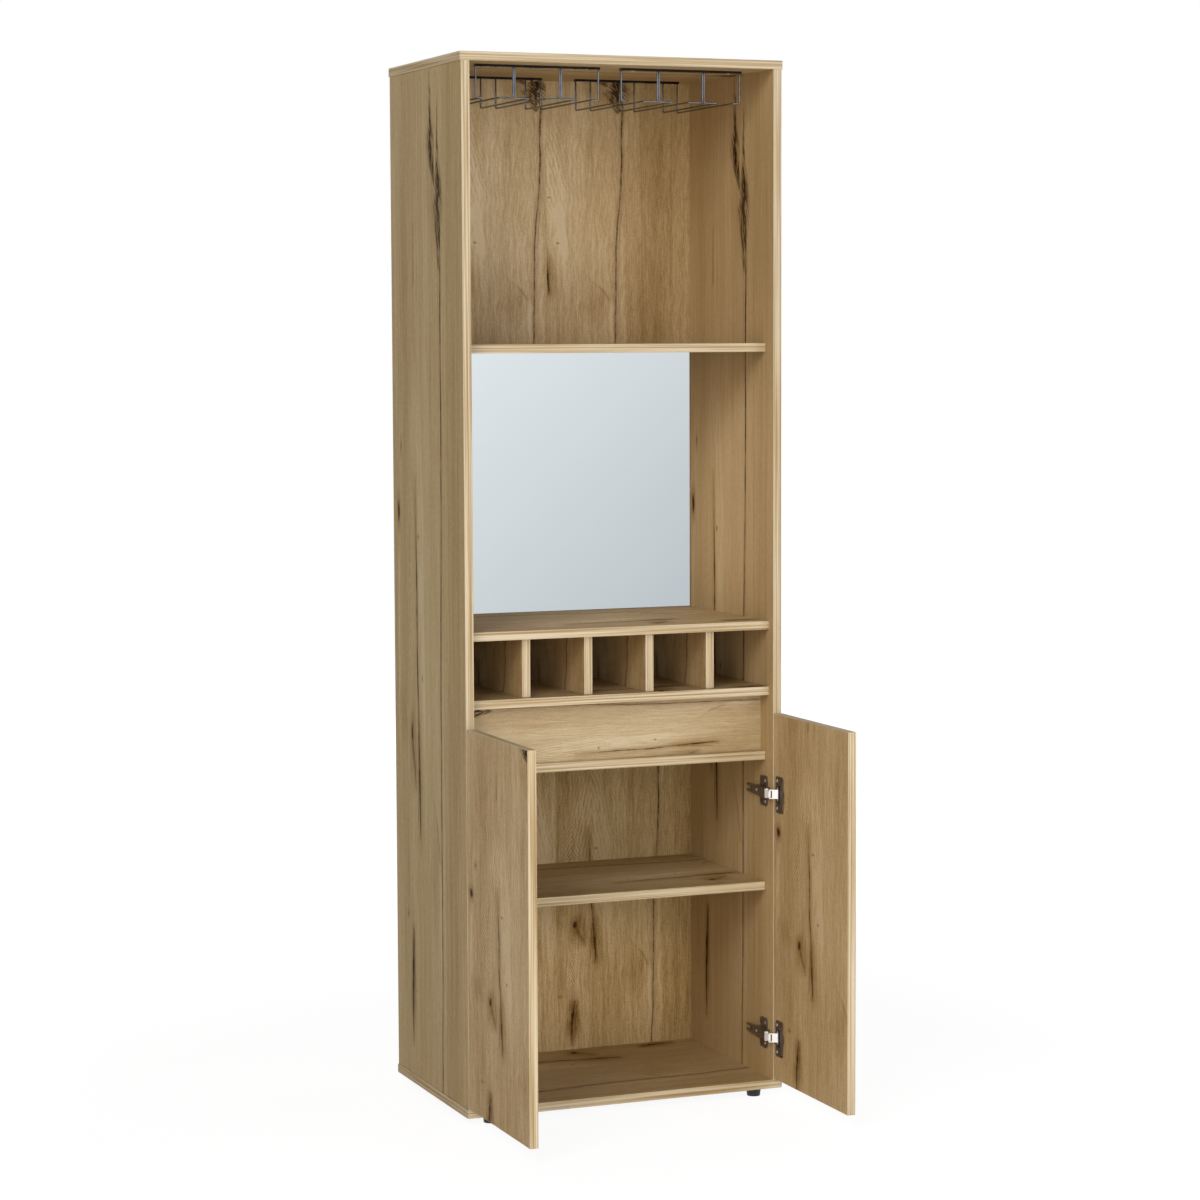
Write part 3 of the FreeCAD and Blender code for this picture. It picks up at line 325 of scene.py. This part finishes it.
    color = addNode(tree, colorRamp, [tone], oakDecor["tones"])
    stained = addNode(tree, calc, [near, oakDecor["haloShare"]], operation="MULTIPLY", use_clamp=True)
    color = addNode(tree, mix, {0: stained, 6: color, 7: linear(oakDecor["stain"])}, data_type="RGBA")
    color = addNode(tree, mix, {0: darkest, 6: color, 7: linear(oakDecor["crack"])}, data_type="RGBA")
    depth = addNode(tree, calc, [darkest, oakDecor["crackDepth"]], operation="MULTIPLY")
    height = addNode(tree, calc, [tone, depth], operation="SUBTRACT")
    dull = addNode(tree, calc, [pores, darkest])
    roughness = addNode(tree, calc, [dull, *oakDecor["roughness"]], operation="MULTIPLY_ADD")
    addNode(tree, "NodeGroupOutput", [color, height, roughness])
    return tree


decor = makeDecor()
print("decor: %d nodes" % len(decor.nodes))

# How the decor lies on each board. Across and along: axis, decor millimetres per millimetre, start. Faces:
# the axis that the broad faces look along. Bare: what looks backwards is raw board. Contrast of the print
# and width of its lines, where not 1. Fold: left of this place the print is moved on, both in millimetres.
# Painted light and shade: patches that lighten or darken the print where light falls differently: across,
# along, radii, share of red, green and blue
oakBoards = {
    "left_side": {
        "across": ("y", -1.307, 460.7), "along": ("z", 0.4785, -20.6), "faces": "x", "bare": True,
        "contrast": 0.95, "lines": 1.6, "paintedLight": [(278, 420, 900, 900, (0.93, 0.965, 0.945))]},
    "right_side": {
        "across": ("y", -1.307, 460.7), "along": ("z", 0.4785, -20.6), "faces": "x", "bare": True,
        "contrast": 0.65, "lines": 1.5,
        "paintedLight": [(278, 491, 500, 130, (1.24, 1.24, 1.26)), (278, 730, 500, 110, (0.9, 0.89, 0.86))]},
    "left_door": {
        "across": ("y", -0.935, 4.1), "along": ("z", 1.098, 27.4), "faces": "x", "bare": False,
        "contrast": 1.15},
    "right_door": {
        "across": ("y", -1.0, 0.0), "along": ("z", 1.0, 0.0), "faces": "x", "bare": False},
    "upper_back_panel": {
        "across": ("x", 1.15, 199.3), "along": ("z", 1.45, -1838.0), "faces": "y", "bare": True,
        "contrast": 1.1, "fold": (-3.5, 157.5)},
    "middle_back_panel": {
        "across": ("x", 1.15, 199.3), "along": ("z", 1.2, -700.0), "faces": "y", "bare": True},
    "lower_back_panel": {
        "across": ("x", 1.30, 88.5), "along": ("z", 1.19, -22.0), "faces": "y", "bare": True,
        "contrast": 1.4, "fold": (8, 120),
        "paintedLight": [(150, 150, 420, 190, (1.3, 1.3, 1.34)), (206, 600, 500, 190, (0.86, 0.86, 0.86))]},
    "top_panel": {
        "across": ("y", 0.9, 250.0), "along": ("x", 1.1, 417.0), "faces": "z", "bare": True},
    "bottom_panel": {
        "across": ("y", -0.85, 392.5), "along": ("x", -1.3, 324.0), "faces": "z", "bare": True,
        "contrast": 0.7},
    "upper_shelf": {
        "across": ("y", 1.0, 110.0), "along": ("x", -1.2, 430.0), "faces": "z", "bare": True},
    "counter_shelf": {
        "across": ("y", 0.9, 127.0), "along": ("x", -1.38, 400.0), "faces": "z", "bare": True,
        "paintedLight": [(250, 400, 900, 900, (1.22, 1.22, 1.24))]},
    "bottle_floor": {
        "across": ("y", 0.9, 150.0), "along": ("x", -1.2, 380.0), "faces": "z", "bare": True,
        "paintedLight": [(275, 380, 900, 900, (0.72, 0.7, 0.66))]},
    "cupboard_shelf": {
        "across": ("y", -0.8, 300.0), "along": ("x", -1.2, 250.0), "faces": "z", "bare": True},
    "loose_shelf": {
        "across": ("y", 1.0, 98.0), "along": ("x", -1.2, 525.0), "faces": "z", "bare": True},
    "apron": {
        "across": ("z", 2.1, -1112.5), "along": ("x", -1.12, 417.0), "faces": "y", "bare": False,
        "contrast": 0.85, "paintedLight": [(265, 417, 900, 900, (0.94, 0.99, 1.09))]},
}
for name in nodes:
    if name.startswith("bottle_divider_"):
        oakBoards[name] = {
            "across": ("y", -1.307, 460.7), "along": ("z", 3.7, -2325.0), "faces": "x", "bare": True}

# Oak-print melamine: matt, with a slight relief. Past `faceLimit`, a normal's share along an axis is a face's
melamine = {"specular": 0.05, "depth": 0.00012, "faceLimit": 0.9}
# Glued edge band: straight stripes along the edge, paler where the edge is eased as a painted highlight
edgeBand = {"tones": [(0.34, "#a38b63"), (0.48, "#c0ad89"), (0.62, "#d4c6a9")], "stripe": 2.6, "long": 350,
            "detail": 1.5, "bevel": "#cfbf9c", "slant": (0.4, 0.6)}
# Raw chipboard: speckled with chips
bareBoard = {"tones": [(0.35, "#8a6a42"), (0.55, "#b08f62"), (0.7, "#c9ad80")], "chip": 2.4, "detail": 3}
# Rough side of the hardboard: brown fibre with the mesh of the press in it
hardboard = {"tones": [(0.3, "#6d4d30"), (0.7, "#8b6846")], "mesh": 1.6, "meshTone": 0.08, "meshHeight": 0.5,
             "fibre": 9, "detail": 5, "fray": 0.7}


def oakMaterial(name, lay):
    # Melamine print on the faces, striped band on the edges, bare board where no band was glued
    material, tree = startMaterial(name)
    spots = addNode(tree, texturePlace).node.outputs
    place = addNode(tree, split, [spots["Object"]]).node.outputs
    facing = addNode(tree, split, [spots["Normal"]]).node.outputs
    broadAxis = "xyz".index(lay["faces"])
    coords = []
    for axis, scale, start in (lay["across"], lay["along"]):
        value = place["xyz".index(axis)]
        if "fold" in lay and axis == lay["across"][0]:
            limit, shift = lay["fold"]
            beyond = addNode(tree, calc, [value, limit / mm], operation="LESS_THAN")
            value = addNode(tree, calc, [beyond, shift / mm, value], operation="MULTIPLY_ADD")
        coords.append(addNode(tree, calc, [value, mm * scale, start], operation="MULTIPLY_ADD"))
    given = coords + [lay.get("contrast", 1), lay.get("lines", 1)]
    printed = addNode(tree, "ShaderNodeGroup", given, node_tree=decor).node.outputs
    face = printed["Color"]
    # Painted light and shade: soft patches that lighten or darken the print where light falls differently on
    # this board
    for *spot, gains in lay.get("paintedLight", ()):
        paintedLightPatch = addNode(tree, remap, [squaredRadius(tree, *coords, spot), 1, 0],
                        interpolation_type="SMOOTHSTEP")
        face = addNode(tree, mix, {0: paintedLightPatch, 6: face, 7: (*gains, 1)}, data_type="RGBA",
                       blend_type="MULTIPLY")

    broad = addNode(tree, calc, [facing[broadAxis]], operation="ABSOLUTE")
    onFace = addNode(tree, calc, [broad, melamine["faceLimit"]], operation="GREATER_THAN")
    stretch = [mm / edgeBand["long"]] * 3
    stretch[broadAxis] = mm / edgeBand["stripe"]
    stretched = addNode(tree, vectorCalc, [spots["Object"], stretch], operation="MULTIPLY")
    stripes = addNode(tree, noise, {"Vector": stretched, "Scale": 1, "Detail": edgeBand["detail"]})
    band = addNode(tree, colorRamp, [stripes], edgeBand["tones"])
    slanted = addNode(tree, remap, [broad, *edgeBand["slant"]])
    # Painted highlight: the eased edge, between face and edge, is coloured paler
    band = addNode(tree, mix, {0: slanted, 6: band, 7: linear(edgeBand["bevel"])}, data_type="RGBA")
    color = addNode(tree, mix, {0: onFace, 6: band, 7: face}, data_type="RGBA")
    height = addNode(tree, calc, [printed["Height"], onFace], operation="MULTIPLY")

    if lay["bare"]:
        rough = addNode(tree, noise, {"Vector": spots["Object"], "Scale": mm / bareBoard["chip"],
                                      "Detail": bareBoard["detail"]})
        if lay["faces"] == "y":                                 # a back panel
            waves = [math.tau * mm / hardboard["mesh"]] * 3
            grid = addNode(tree, vectorCalc, [spots["Object"], waves], operation="MULTIPLY")
            grid = addNode(tree, vectorCalc, [grid], operation="SINE")
            sines = addNode(tree, split, [grid]).node.outputs
            mesh = addNode(tree, calc, [sines[0], sines[2]], operation="MULTIPLY")
            fibre = addNode(tree, noise, {"Vector": spots["Object"], "Scale": mm / hardboard["fibre"],
                                          "Detail": hardboard["detail"], "Roughness": hardboard["fray"]})
            fibre = addNode(tree, calc, [mesh, hardboard["meshTone"], fibre], operation="MULTIPLY_ADD")
            raw = addNode(tree, colorRamp, [fibre], hardboard["tones"])
            rough = addNode(tree, calc, [mesh, hardboard["meshHeight"], rough], operation="MULTIPLY_ADD")
        else:
            raw = addNode(tree, colorRamp, [rough], bareBoard["tones"])
        onBack = addNode(tree, calc, [facing[1], melamine["faceLimit"]], operation="GREATER_THAN")
        color = addNode(tree, mix, {0: onBack, 6: color, 7: raw}, data_type="RGBA")
        height = addNode(tree, mix, {0: onBack, 2: height, 3: rough})
    endMaterial(tree, {"Base Color": color, "Roughness": printed["Roughness"],
                       "Specular IOR Level": melamine["specular"]}, height, melamine["depth"])
    return material


for name, lay in oakBoards.items():
    nodes[name].material_slots[0].material = oakMaterial(name + "_oak_print", lay)
print("oak boards: %d" % len(oakBoards))

# Mirror: silvered glass whose normal leans and bows, in degrees, so it shows the pale studio as a soft fade.
# Its colour carries a painted reflection, light to dark towards the lower right, with faint clouds, three to
# half a metre
mirrorGlass = {"light": "#e3ebee", "dark": "#bcc4c8", "cloud": 500 / 3, "cloudDetail": 1, "cloudShare": 0.06,
               "roughness": 0.03, "lean": 11.8, "bow": 2.6}


def mirrorMaterial():
    material, tree = startMaterial("silvered_glass")
    spots = addNode(tree, texturePlace).node.outputs
    low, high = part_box("mirror")
    place = addNode(tree, split, [spots["Object"]]).node.outputs
    # Painted reflection: the colour fades from light at the upper left to dark at the lower right
    sideways = addNode(tree, remap, [place[0], low[0], high[0]])
    downwards = addNode(tree, remap, [place[2], high[2], low[2]])
    paintedReflectionFade = addNode(tree, calc, [sideways, downwards])
    paintedReflectionFade = addNode(tree, calc, [paintedReflectionFade, 0.5], operation="MULTIPLY")               # mean of the two
    clouds = addNode(tree, noise, {"Vector": spots["Object"], "Scale": mm / mirrorGlass["cloud"],
                                   "Detail": mirrorGlass["cloudDetail"]})
    paintedReflectionFade = addNode(tree, calc, [clouds, mirrorGlass["cloudShare"], paintedReflectionFade], operation="MULTIPLY_ADD")
    color = addNode(tree, mix, {0: paintedReflectionFade, 6: linear(mirrorGlass["light"]), 7: linear(mirrorGlass["dark"])},
                    data_type="RGBA")
    lean, bow = [math.tan(math.radians(mirrorGlass[name])) for name in ("lean", "bow")]
    bowed = addNode(tree, calc, [downwards, bow], operation="MULTIPLY")
    tilt = addNode(tree, join, [-lean, 0, bowed])
    flat = addNode(tree, "ShaderNodeNewGeometry").node.outputs["Normal"]
    normal = addNode(tree, vectorCalc, [flat, tilt])
    normal = addNode(tree, vectorCalc, [normal], operation="NORMALIZE")
    surface = addNode(tree, "ShaderNodeBsdfPrincipled", {"Base Color": color, "Metallic": 1, "Normal": normal,
                                                         "Roughness": mirrorGlass["roughness"]})
    addNode(tree, "ShaderNodeOutputMaterial", {"Surface": surface})
    return material


nodes["mirror"].material_slots[0].material = mirrorMaterial()
print("mirror ready")

# Metals, plastic and beech: colour range, metallic, roughness range, size of the marks, depth of the bump
plainStuff = {
    "rack_chrome": ("#6c7178", "#8c9199", 1, 0.05, 0.12, 9, 0.00001),       # grey wire that mirrors the room
    "bronzed_steel": ("#7b7169", "#958a80", 0.85, 0.28, 0.42, 3, 0.00003),  # brown, slightly mottled plating
    "bright_nickel": ("#f1efe9", "#fbfaf6", 1, 0.14, 0.24, 5, 0.00001),     # near white, polished
    "zinc_steel": ("#b9bcc0", "#d6d8da", 1, 0.24, 0.42, 2, 0.00002),        # grey spangle
    "glide_plastic": ("#0c0c0d", "#17171a", 0, 0.38, 0.55, 1.2, 0.00005),   # black, finely grained
    "beech": ("#b98a5a", "#d2a878", 0, 0.5, 0.65, 2, 0.00008),              # turned dowel
}
plainMarks = {"range": (0.3, 0.7), "detail": 4}                             # noise of the marks

# A second finish on one end of a piece, as painted highlight or painted shade: axis, side, reach (share of
# its length, or metres), colour, metallic
# Painted highlight: the arm's front is flat white, standing in for the glare of bright nickel
paintedArmHighlight = {"axis": 1, "side": "LESS_THAN", "share": 0.36, "color": "#ffffff", "metallic": 0}     # white front
# Painted shade: the rack's top bars are dark, standing in for the dark cabinet they mirror
paintedBarShade = {"axis": 2, "side": "GREATER_THAN", "tall": 0.0042, "color": "#3a3d44", "metallic": 1}   # dark top
armLow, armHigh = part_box("upper_right_hinge_arm")
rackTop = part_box("left_glass_rack")[1][2]
paintedArmHighlight["begins"] = armLow[1] + paintedArmHighlight["share"] * (armHigh[1] - armLow[1])
paintedBarShade["begins"] = rackTop - paintedBarShade["tall"]


def plainMaterial(name, dark, light, metallic, smooth, rough, mark, depth, paintedEnd=None):
    material, tree = startMaterial(name + "_finish")
    spots = addNode(tree, texturePlace).node.outputs
    low, high = plainMarks["range"]
    marks = addNode(tree, noise, {"Vector": spots["Object"], "Scale": mm / mark,
                                  "Detail": plainMarks["detail"]})
    color = addNode(tree, colorRamp, [marks], [(low, dark), (high, light)])
    roughness = addNode(tree, remap, [marks, low, high, smooth, rough])
    # The painted end: a highlight or shade coloured onto one end of the piece
    if paintedEnd:
        place = addNode(tree, split, [spots["Object"]]).node.outputs
        share = addNode(tree, calc, [place[paintedEnd["axis"]], paintedEnd["begins"]], operation=paintedEnd["side"])
        color = addNode(tree, mix, {0: share, 6: color, 7: linear(paintedEnd["color"])}, data_type="RGBA")
        if paintedEnd["metallic"] != metallic:
            metallic = addNode(tree, remap, [share, 0, 1, metallic, paintedEnd["metallic"]])
    endMaterial(tree, {"Base Color": color, "Metallic": metallic, "Roughness": roughness}, marks, depth)
    return material


finishes = {name: plainMaterial(name, *values, paintedEnd=paintedBarShade if name == "rack_chrome" else None)
            for name, values in plainStuff.items()}
armFinish = plainMaterial("arm_painted_highlight", *plainStuff["bronzed_steel"], paintedEnd=paintedArmHighlight)
for name, piece in nodes.items():
    slot = piece.material_slots[0]
    if name.endswith("_hinge_arm"):
        slot.material = armFinish
    elif slot.material.name in finishes:
        slot.material = finishes[slot.material.name]
print("finishes: %d" % len(finishes))

# Screw heads with a cross recess, turned at random, in place of the plain ones. Sizes are shares of the
# head's radius, and of its height for the depth
screwHead = {"Top share": 0.78, "Recess reach": 0.62, "Recess width": 0.2, "Recess depth": 0.6, "Sides": 28,
             "Seed": 7}
headRim = 0.9                                                   # share of the radius where the rim begins
weldPlaces = 6                                                  # decimals to which joined points agree


def screwSpots(node):
    # Base, outward axis, radius and height of each head in a node of loose screws
    mesh = nodes[node].data
    owner = list(range(len(mesh.vertices)))

    def root(index):
        while owner[index] != index:
            owner[index] = owner[owner[index]]
            index = owner[index]
        return index

    seen = {}
    for vertex in mesh.vertices:                                # seams of the mesh count as joined
        key = tuple(round(c, weldPlaces) for c in vertex.co)
        owner[root(vertex.index)] = root(seen.setdefault(key, vertex.index))
    for edge in mesh.edges:
        owner[root(edge.vertices[0])] = root(edge.vertices[1])
    groups = {}
    for vertex in mesh.vertices:
        groups.setdefault(root(vertex.index), []).append(vertex.co)
    spots = []
    for points in groups.values():
        low = Vector(min(p[i] for p in points) for i in range(3))
        high = Vector(max(p[i] for p in points) for i in range(3))
        middle = (low + high) / 2
        axis = max(range(3), key=lambda i: high[i] - low[i])
        sides = [i for i in range(3) if i != axis]
        radius = max(high[i] - low[i] for i in sides) / 2
        wide = [p[axis] for p in points if max(abs(p[i] - middle[i]) for i in sides) > headRim * radius]
        out = 1 if min(wide) > middle[axis] else -1
        base = middle.copy()
        base[axis] = min(wide) if out > 0 else max(wide)
        heading = Vector((0, 0, 0))
        heading[axis] = out
        spots.append((base, heading, radius, max(wide) - min(wide)))
    return spots


def headTree():
    # A head of radius and height 1 on each point, cut by two crossed bars, then scaled, aimed and turned
    tree = bpy.data.node_groups.new("screwHeads", "GeometryNodeTree")
    tree.interface.new_socket("Geometry", in_out="INPUT", socket_type="NodeSocketGeometry")
    for name, kind in (("Top share", "Float"), ("Recess reach", "Float"), ("Recess width", "Float"),
                       ("Recess depth", "Float"), ("Sides", "Int"), ("Seed", "Int"), ("Finish", "Material")):
        tree.interface.new_socket(name, in_out="INPUT", socket_type="NodeSocket" + kind)
    tree.interface.new_socket("Geometry", in_out="OUTPUT", socket_type="NodeSocketGeometry")
    given = tree.nodes.new("NodeGroupInput").outputs
    head = addNode(tree, "GeometryNodeMeshCone", {"Vertices": given["Sides"], "Radius Bottom": 1, "Depth": 1,
                                                  "Radius Top": given["Top share"]})
    reach = addNode(tree, calc, [given["Recess reach"], 2], operation="MULTIPLY")
    deep = addNode(tree, calc, [given["Recess depth"], 2], operation="MULTIPLY")
    long = addNode(tree, join, [reach, given["Recess width"], deep])
    across = addNode(tree, join, [given["Recess width"], reach, deep])
    cutters = addNode(tree, "GeometryNodeJoinGeometry")
    for size in (long, across):
        bar = addNode(tree, "GeometryNodeMeshCube", [size])
        bar = addNode(tree, "GeometryNodeTransform", {"Geometry": bar, "Translation": (0, 0, 1)})
        tree.links.new(bar, cutters.node.inputs[0])
    cross = addNode(tree, "GeometryNodeMeshBoolean", {"Mesh 1": head, "Mesh 2": cutters},
                    operation="DIFFERENCE")
    heading = addNode(tree, "GeometryNodeInputNamedAttribute", {"Name": "heading"}, data_type="FLOAT_VECTOR")
    scale = addNode(tree, "GeometryNodeInputNamedAttribute", {"Name": "headSize"}, data_type="FLOAT_VECTOR")
    turn = addNode(tree, "FunctionNodeRandomValue", {"Max": (0, 0, math.pi), "Seed": given["Seed"]},
                   data_type="FLOAT_VECTOR")
    aim = addNode(tree, "FunctionNodeAlignRotationToVector", {"Vector": heading}, axis="Z")
    spin = addNode(tree, "FunctionNodeEulerToRotation", [turn])
    aim = addNode(tree, "FunctionNodeRotateRotation", [aim, spin], rotation_space="LOCAL")
    heads = addNode(tree, "GeometryNodeInstanceOnPoints", {"Points": given["Geometry"], "Instance": cross,
                                                           "Rotation": aim, "Scale": scale})
    solid = addNode(tree, "GeometryNodeRealizeInstances", [heads])
    solid = addNode(tree, "GeometryNodeSetMaterial", {"Geometry": solid, "Material": given["Finish"]})
    addNode(tree, "NodeGroupOutput", [solid])
    return tree


heads = headTree()


def addHeads(name, body, replaced):
    spots = [spot for node in replaced for spot in screwSpots(node)]
    mesh = bpy.data.meshes.new(name)
    mesh.from_pydata([spot[0] for spot in spots], [], [])
    for label, values in (("heading", [spot[1] for spot in spots]),
                          ("headSize", [(radius, radius, tall) for _, _, radius, tall in spots])):
        layer = mesh.attributes.new(label, "FLOAT_VECTOR", "POINT")
        for item, value in zip(layer.data, values):
            item.vector = value
    piece = bpy.data.objects.new(name, mesh)
    bpy.context.scene.collection.objects.link(piece)
    modifier = piece.modifiers.new("Heads", "NODES")
    modifier.node_group = heads
    values = {**screwHead, "Finish": finishes["zinc_steel"]}
    for item in heads.interface.items_tree:
        if item.in_out == "INPUT" and item.name in values:
            modifier[item.identifier] = values[item.name]
    made = bpy.data.meshes.new_from_object(piece.evaluated_get(bpy.context.evaluated_depsgraph_get()))
    piece.modifiers.clear()
    piece.data = made
    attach(piece, body)
    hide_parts(*replaced)
    print("%s: %d heads, %d faces" % (name, len(spots), len(made.polygons)))


addHeads("carcass_screw_heads", "carcass", ["plate_screws", "saddle_screws", "rack_screws", "panel_screws"])
addHeads("left_cup_screw_heads", "left_door", ["left_cup_screws"])
addHeads("right_cup_screw_heads", "right_door", ["right_cup_screws"])

# Pale floor that stays white to the eye and keeps a soft shadow. Its glow rises from the object outwards
studio = {"floorReach": 30, "floorFade": (0.9, 2.4), "floorGlow": (0.92, 1.0), "floorShade": 0.14,
          "floorBounce": 0.8, "world": 0.02}


def seenDirectly(tree):
    path = addNode(tree, "ShaderNodeLightPath").node.outputs
    either = addNode(tree, calc, [path["Is Camera Ray"], path["Is Glossy Ray"]], operation="MAXIMUM")
    return addNode(tree, calc, [either, path["Is Transmission Ray"]], operation="MAXIMUM")


floorMesh = bpy.data.meshes.new("floor")
reach = studio["floorReach"]
floorMesh.from_pydata([(-reach, -reach, 0), (reach, -reach, 0), (reach, reach, 0), (-reach, reach, 0)], [],
                      [(0, 1, 2, 3)])
floor = bpy.data.objects.new("floor", floorMesh)
bpy.context.scene.collection.objects.link(floor)
floorMaterial, tree = startMaterial("pale_floor")
spots = addNode(tree, texturePlace).node.outputs
away = addNode(tree, vectorCalc, [spots["Object"]], operation="LENGTH")
glow = addNode(tree, remap, [away, *studio["floorFade"], *studio["floorGlow"]])
glow = addNode(tree, "ShaderNodeEmission", {"Strength": glow})
shade = addNode(tree, "ShaderNodeBsdfDiffuse", {"Color": [studio["floorShade"]] * 3 + [1]})
bounce = addNode(tree, "ShaderNodeBsdfDiffuse", {"Color": [studio["floorBounce"]] * 3 + [1]})
seen = addNode(tree, "ShaderNodeAddShader", [glow, shade])
surface = addNode(tree, "ShaderNodeMixShader", [seenDirectly(tree), bounce, seen])
addNode(tree, "ShaderNodeOutputMaterial", {"Surface": surface})
floorMesh.materials.append(floorMaterial)

# White to the eye, and nearly dark as a lamp
world = bpy.data.worlds.new("studio")
bpy.context.scene.world = world
world.use_nodes = True
tree = world.node_tree
tree.nodes.clear()
strength = addNode(tree, remap, [seenDirectly(tree), 0, 1, studio["world"], 1])
background = addNode(tree, "ShaderNodeBackground", [(1, 1, 1, 1), strength])
addNode(tree, "ShaderNodeOutputWorld", {"Surface": background})

# Soft lamps: place, target, width and height in metres, watts, colour
lamps = {
    "front": ((-1.04, -5.89, 1.42), (0, 0, 0.9), 3.0, 2.6, 65, "#ffffff"),
    "high_left": ((-3.67, -3.67, 3.9), (0, 0, 0.9), 3.0, 2.6, 157, "#ffffff"),
    "low_left": ((-4.23, -4.23, 1.42), (0, 0, 0.9), 3.0, 2.6, 50, "#ffd6bf"),
    "front_right": ((2.95, -5.12, 1.94), (0, 0, 0.9), 3.0, 2.6, 146, "#e7eaff"),
    "front_near": ((-0.27, -1.9, 0.35), (0.2, 0, 0.3), 0.5, 0.8, 6.2, "#fff6d5"),
    "right_fill": ((5.0, 1.2, 1.8), (0, 0, 0.9), 3.0, 3.0, 70, "#ffffff"),
    "back_fill": ((0.3, 5.5, 1.8), (0, 0, 0.9), 3.0, 3.0, 120, "#ffffff"),
}
for name, (place, target, wide, tall, watts, tint) in lamps.items():
    lamp = bpy.data.lights.new(name, "AREA")
    lamp.shape = "RECTANGLE"
    lamp.size = wide
    lamp.size_y = tall
    lamp.energy = watts
    lamp.color = linear(tint)[:3]
    holder = bpy.data.objects.new(name, lamp)
    holder.visible_camera = False
    holder.visible_glossy = False                               # leaves no bright squares
    aim = (Vector(target) - Vector(place)).to_track_quat("-Z", "Y")
    holder.matrix_world = Matrix.Translation(place) @ aim.to_matrix().to_4x4()
    bpy.context.scene.collection.objects.link(holder)

# Camera fitted to the straight edges of the photograph: metres, radians, focal length over picture width
view = {"place": (-2.0483, -5.01255, 1.3331), "yaw": -0.38251, "pitch": 0.0834, "roll": -0.00407,
        "focal": 3170.1 / 1200, "sensor": 36}
camera = bpy.data.cameras.new("camera")
camera.sensor_width = view["sensor"]
camera.lens = view["sensor"] * view["focal"]
holder = bpy.data.objects.new("camera", camera)
turn = (Matrix.Rotation(view["yaw"], 4, "Z") @ Matrix.Rotation(math.pi / 2 - view["pitch"], 4, "X")
        @ Matrix.Rotation(view["roll"], 4, "Z"))
holder.matrix_world = Matrix.Translation(view["place"]) @ turn
bpy.context.scene.collection.objects.link(holder)
bpy.context.scene.camera = holder
bpy.context.scene.view_settings.view_transform = "Standard"
print("studio and camera ready")
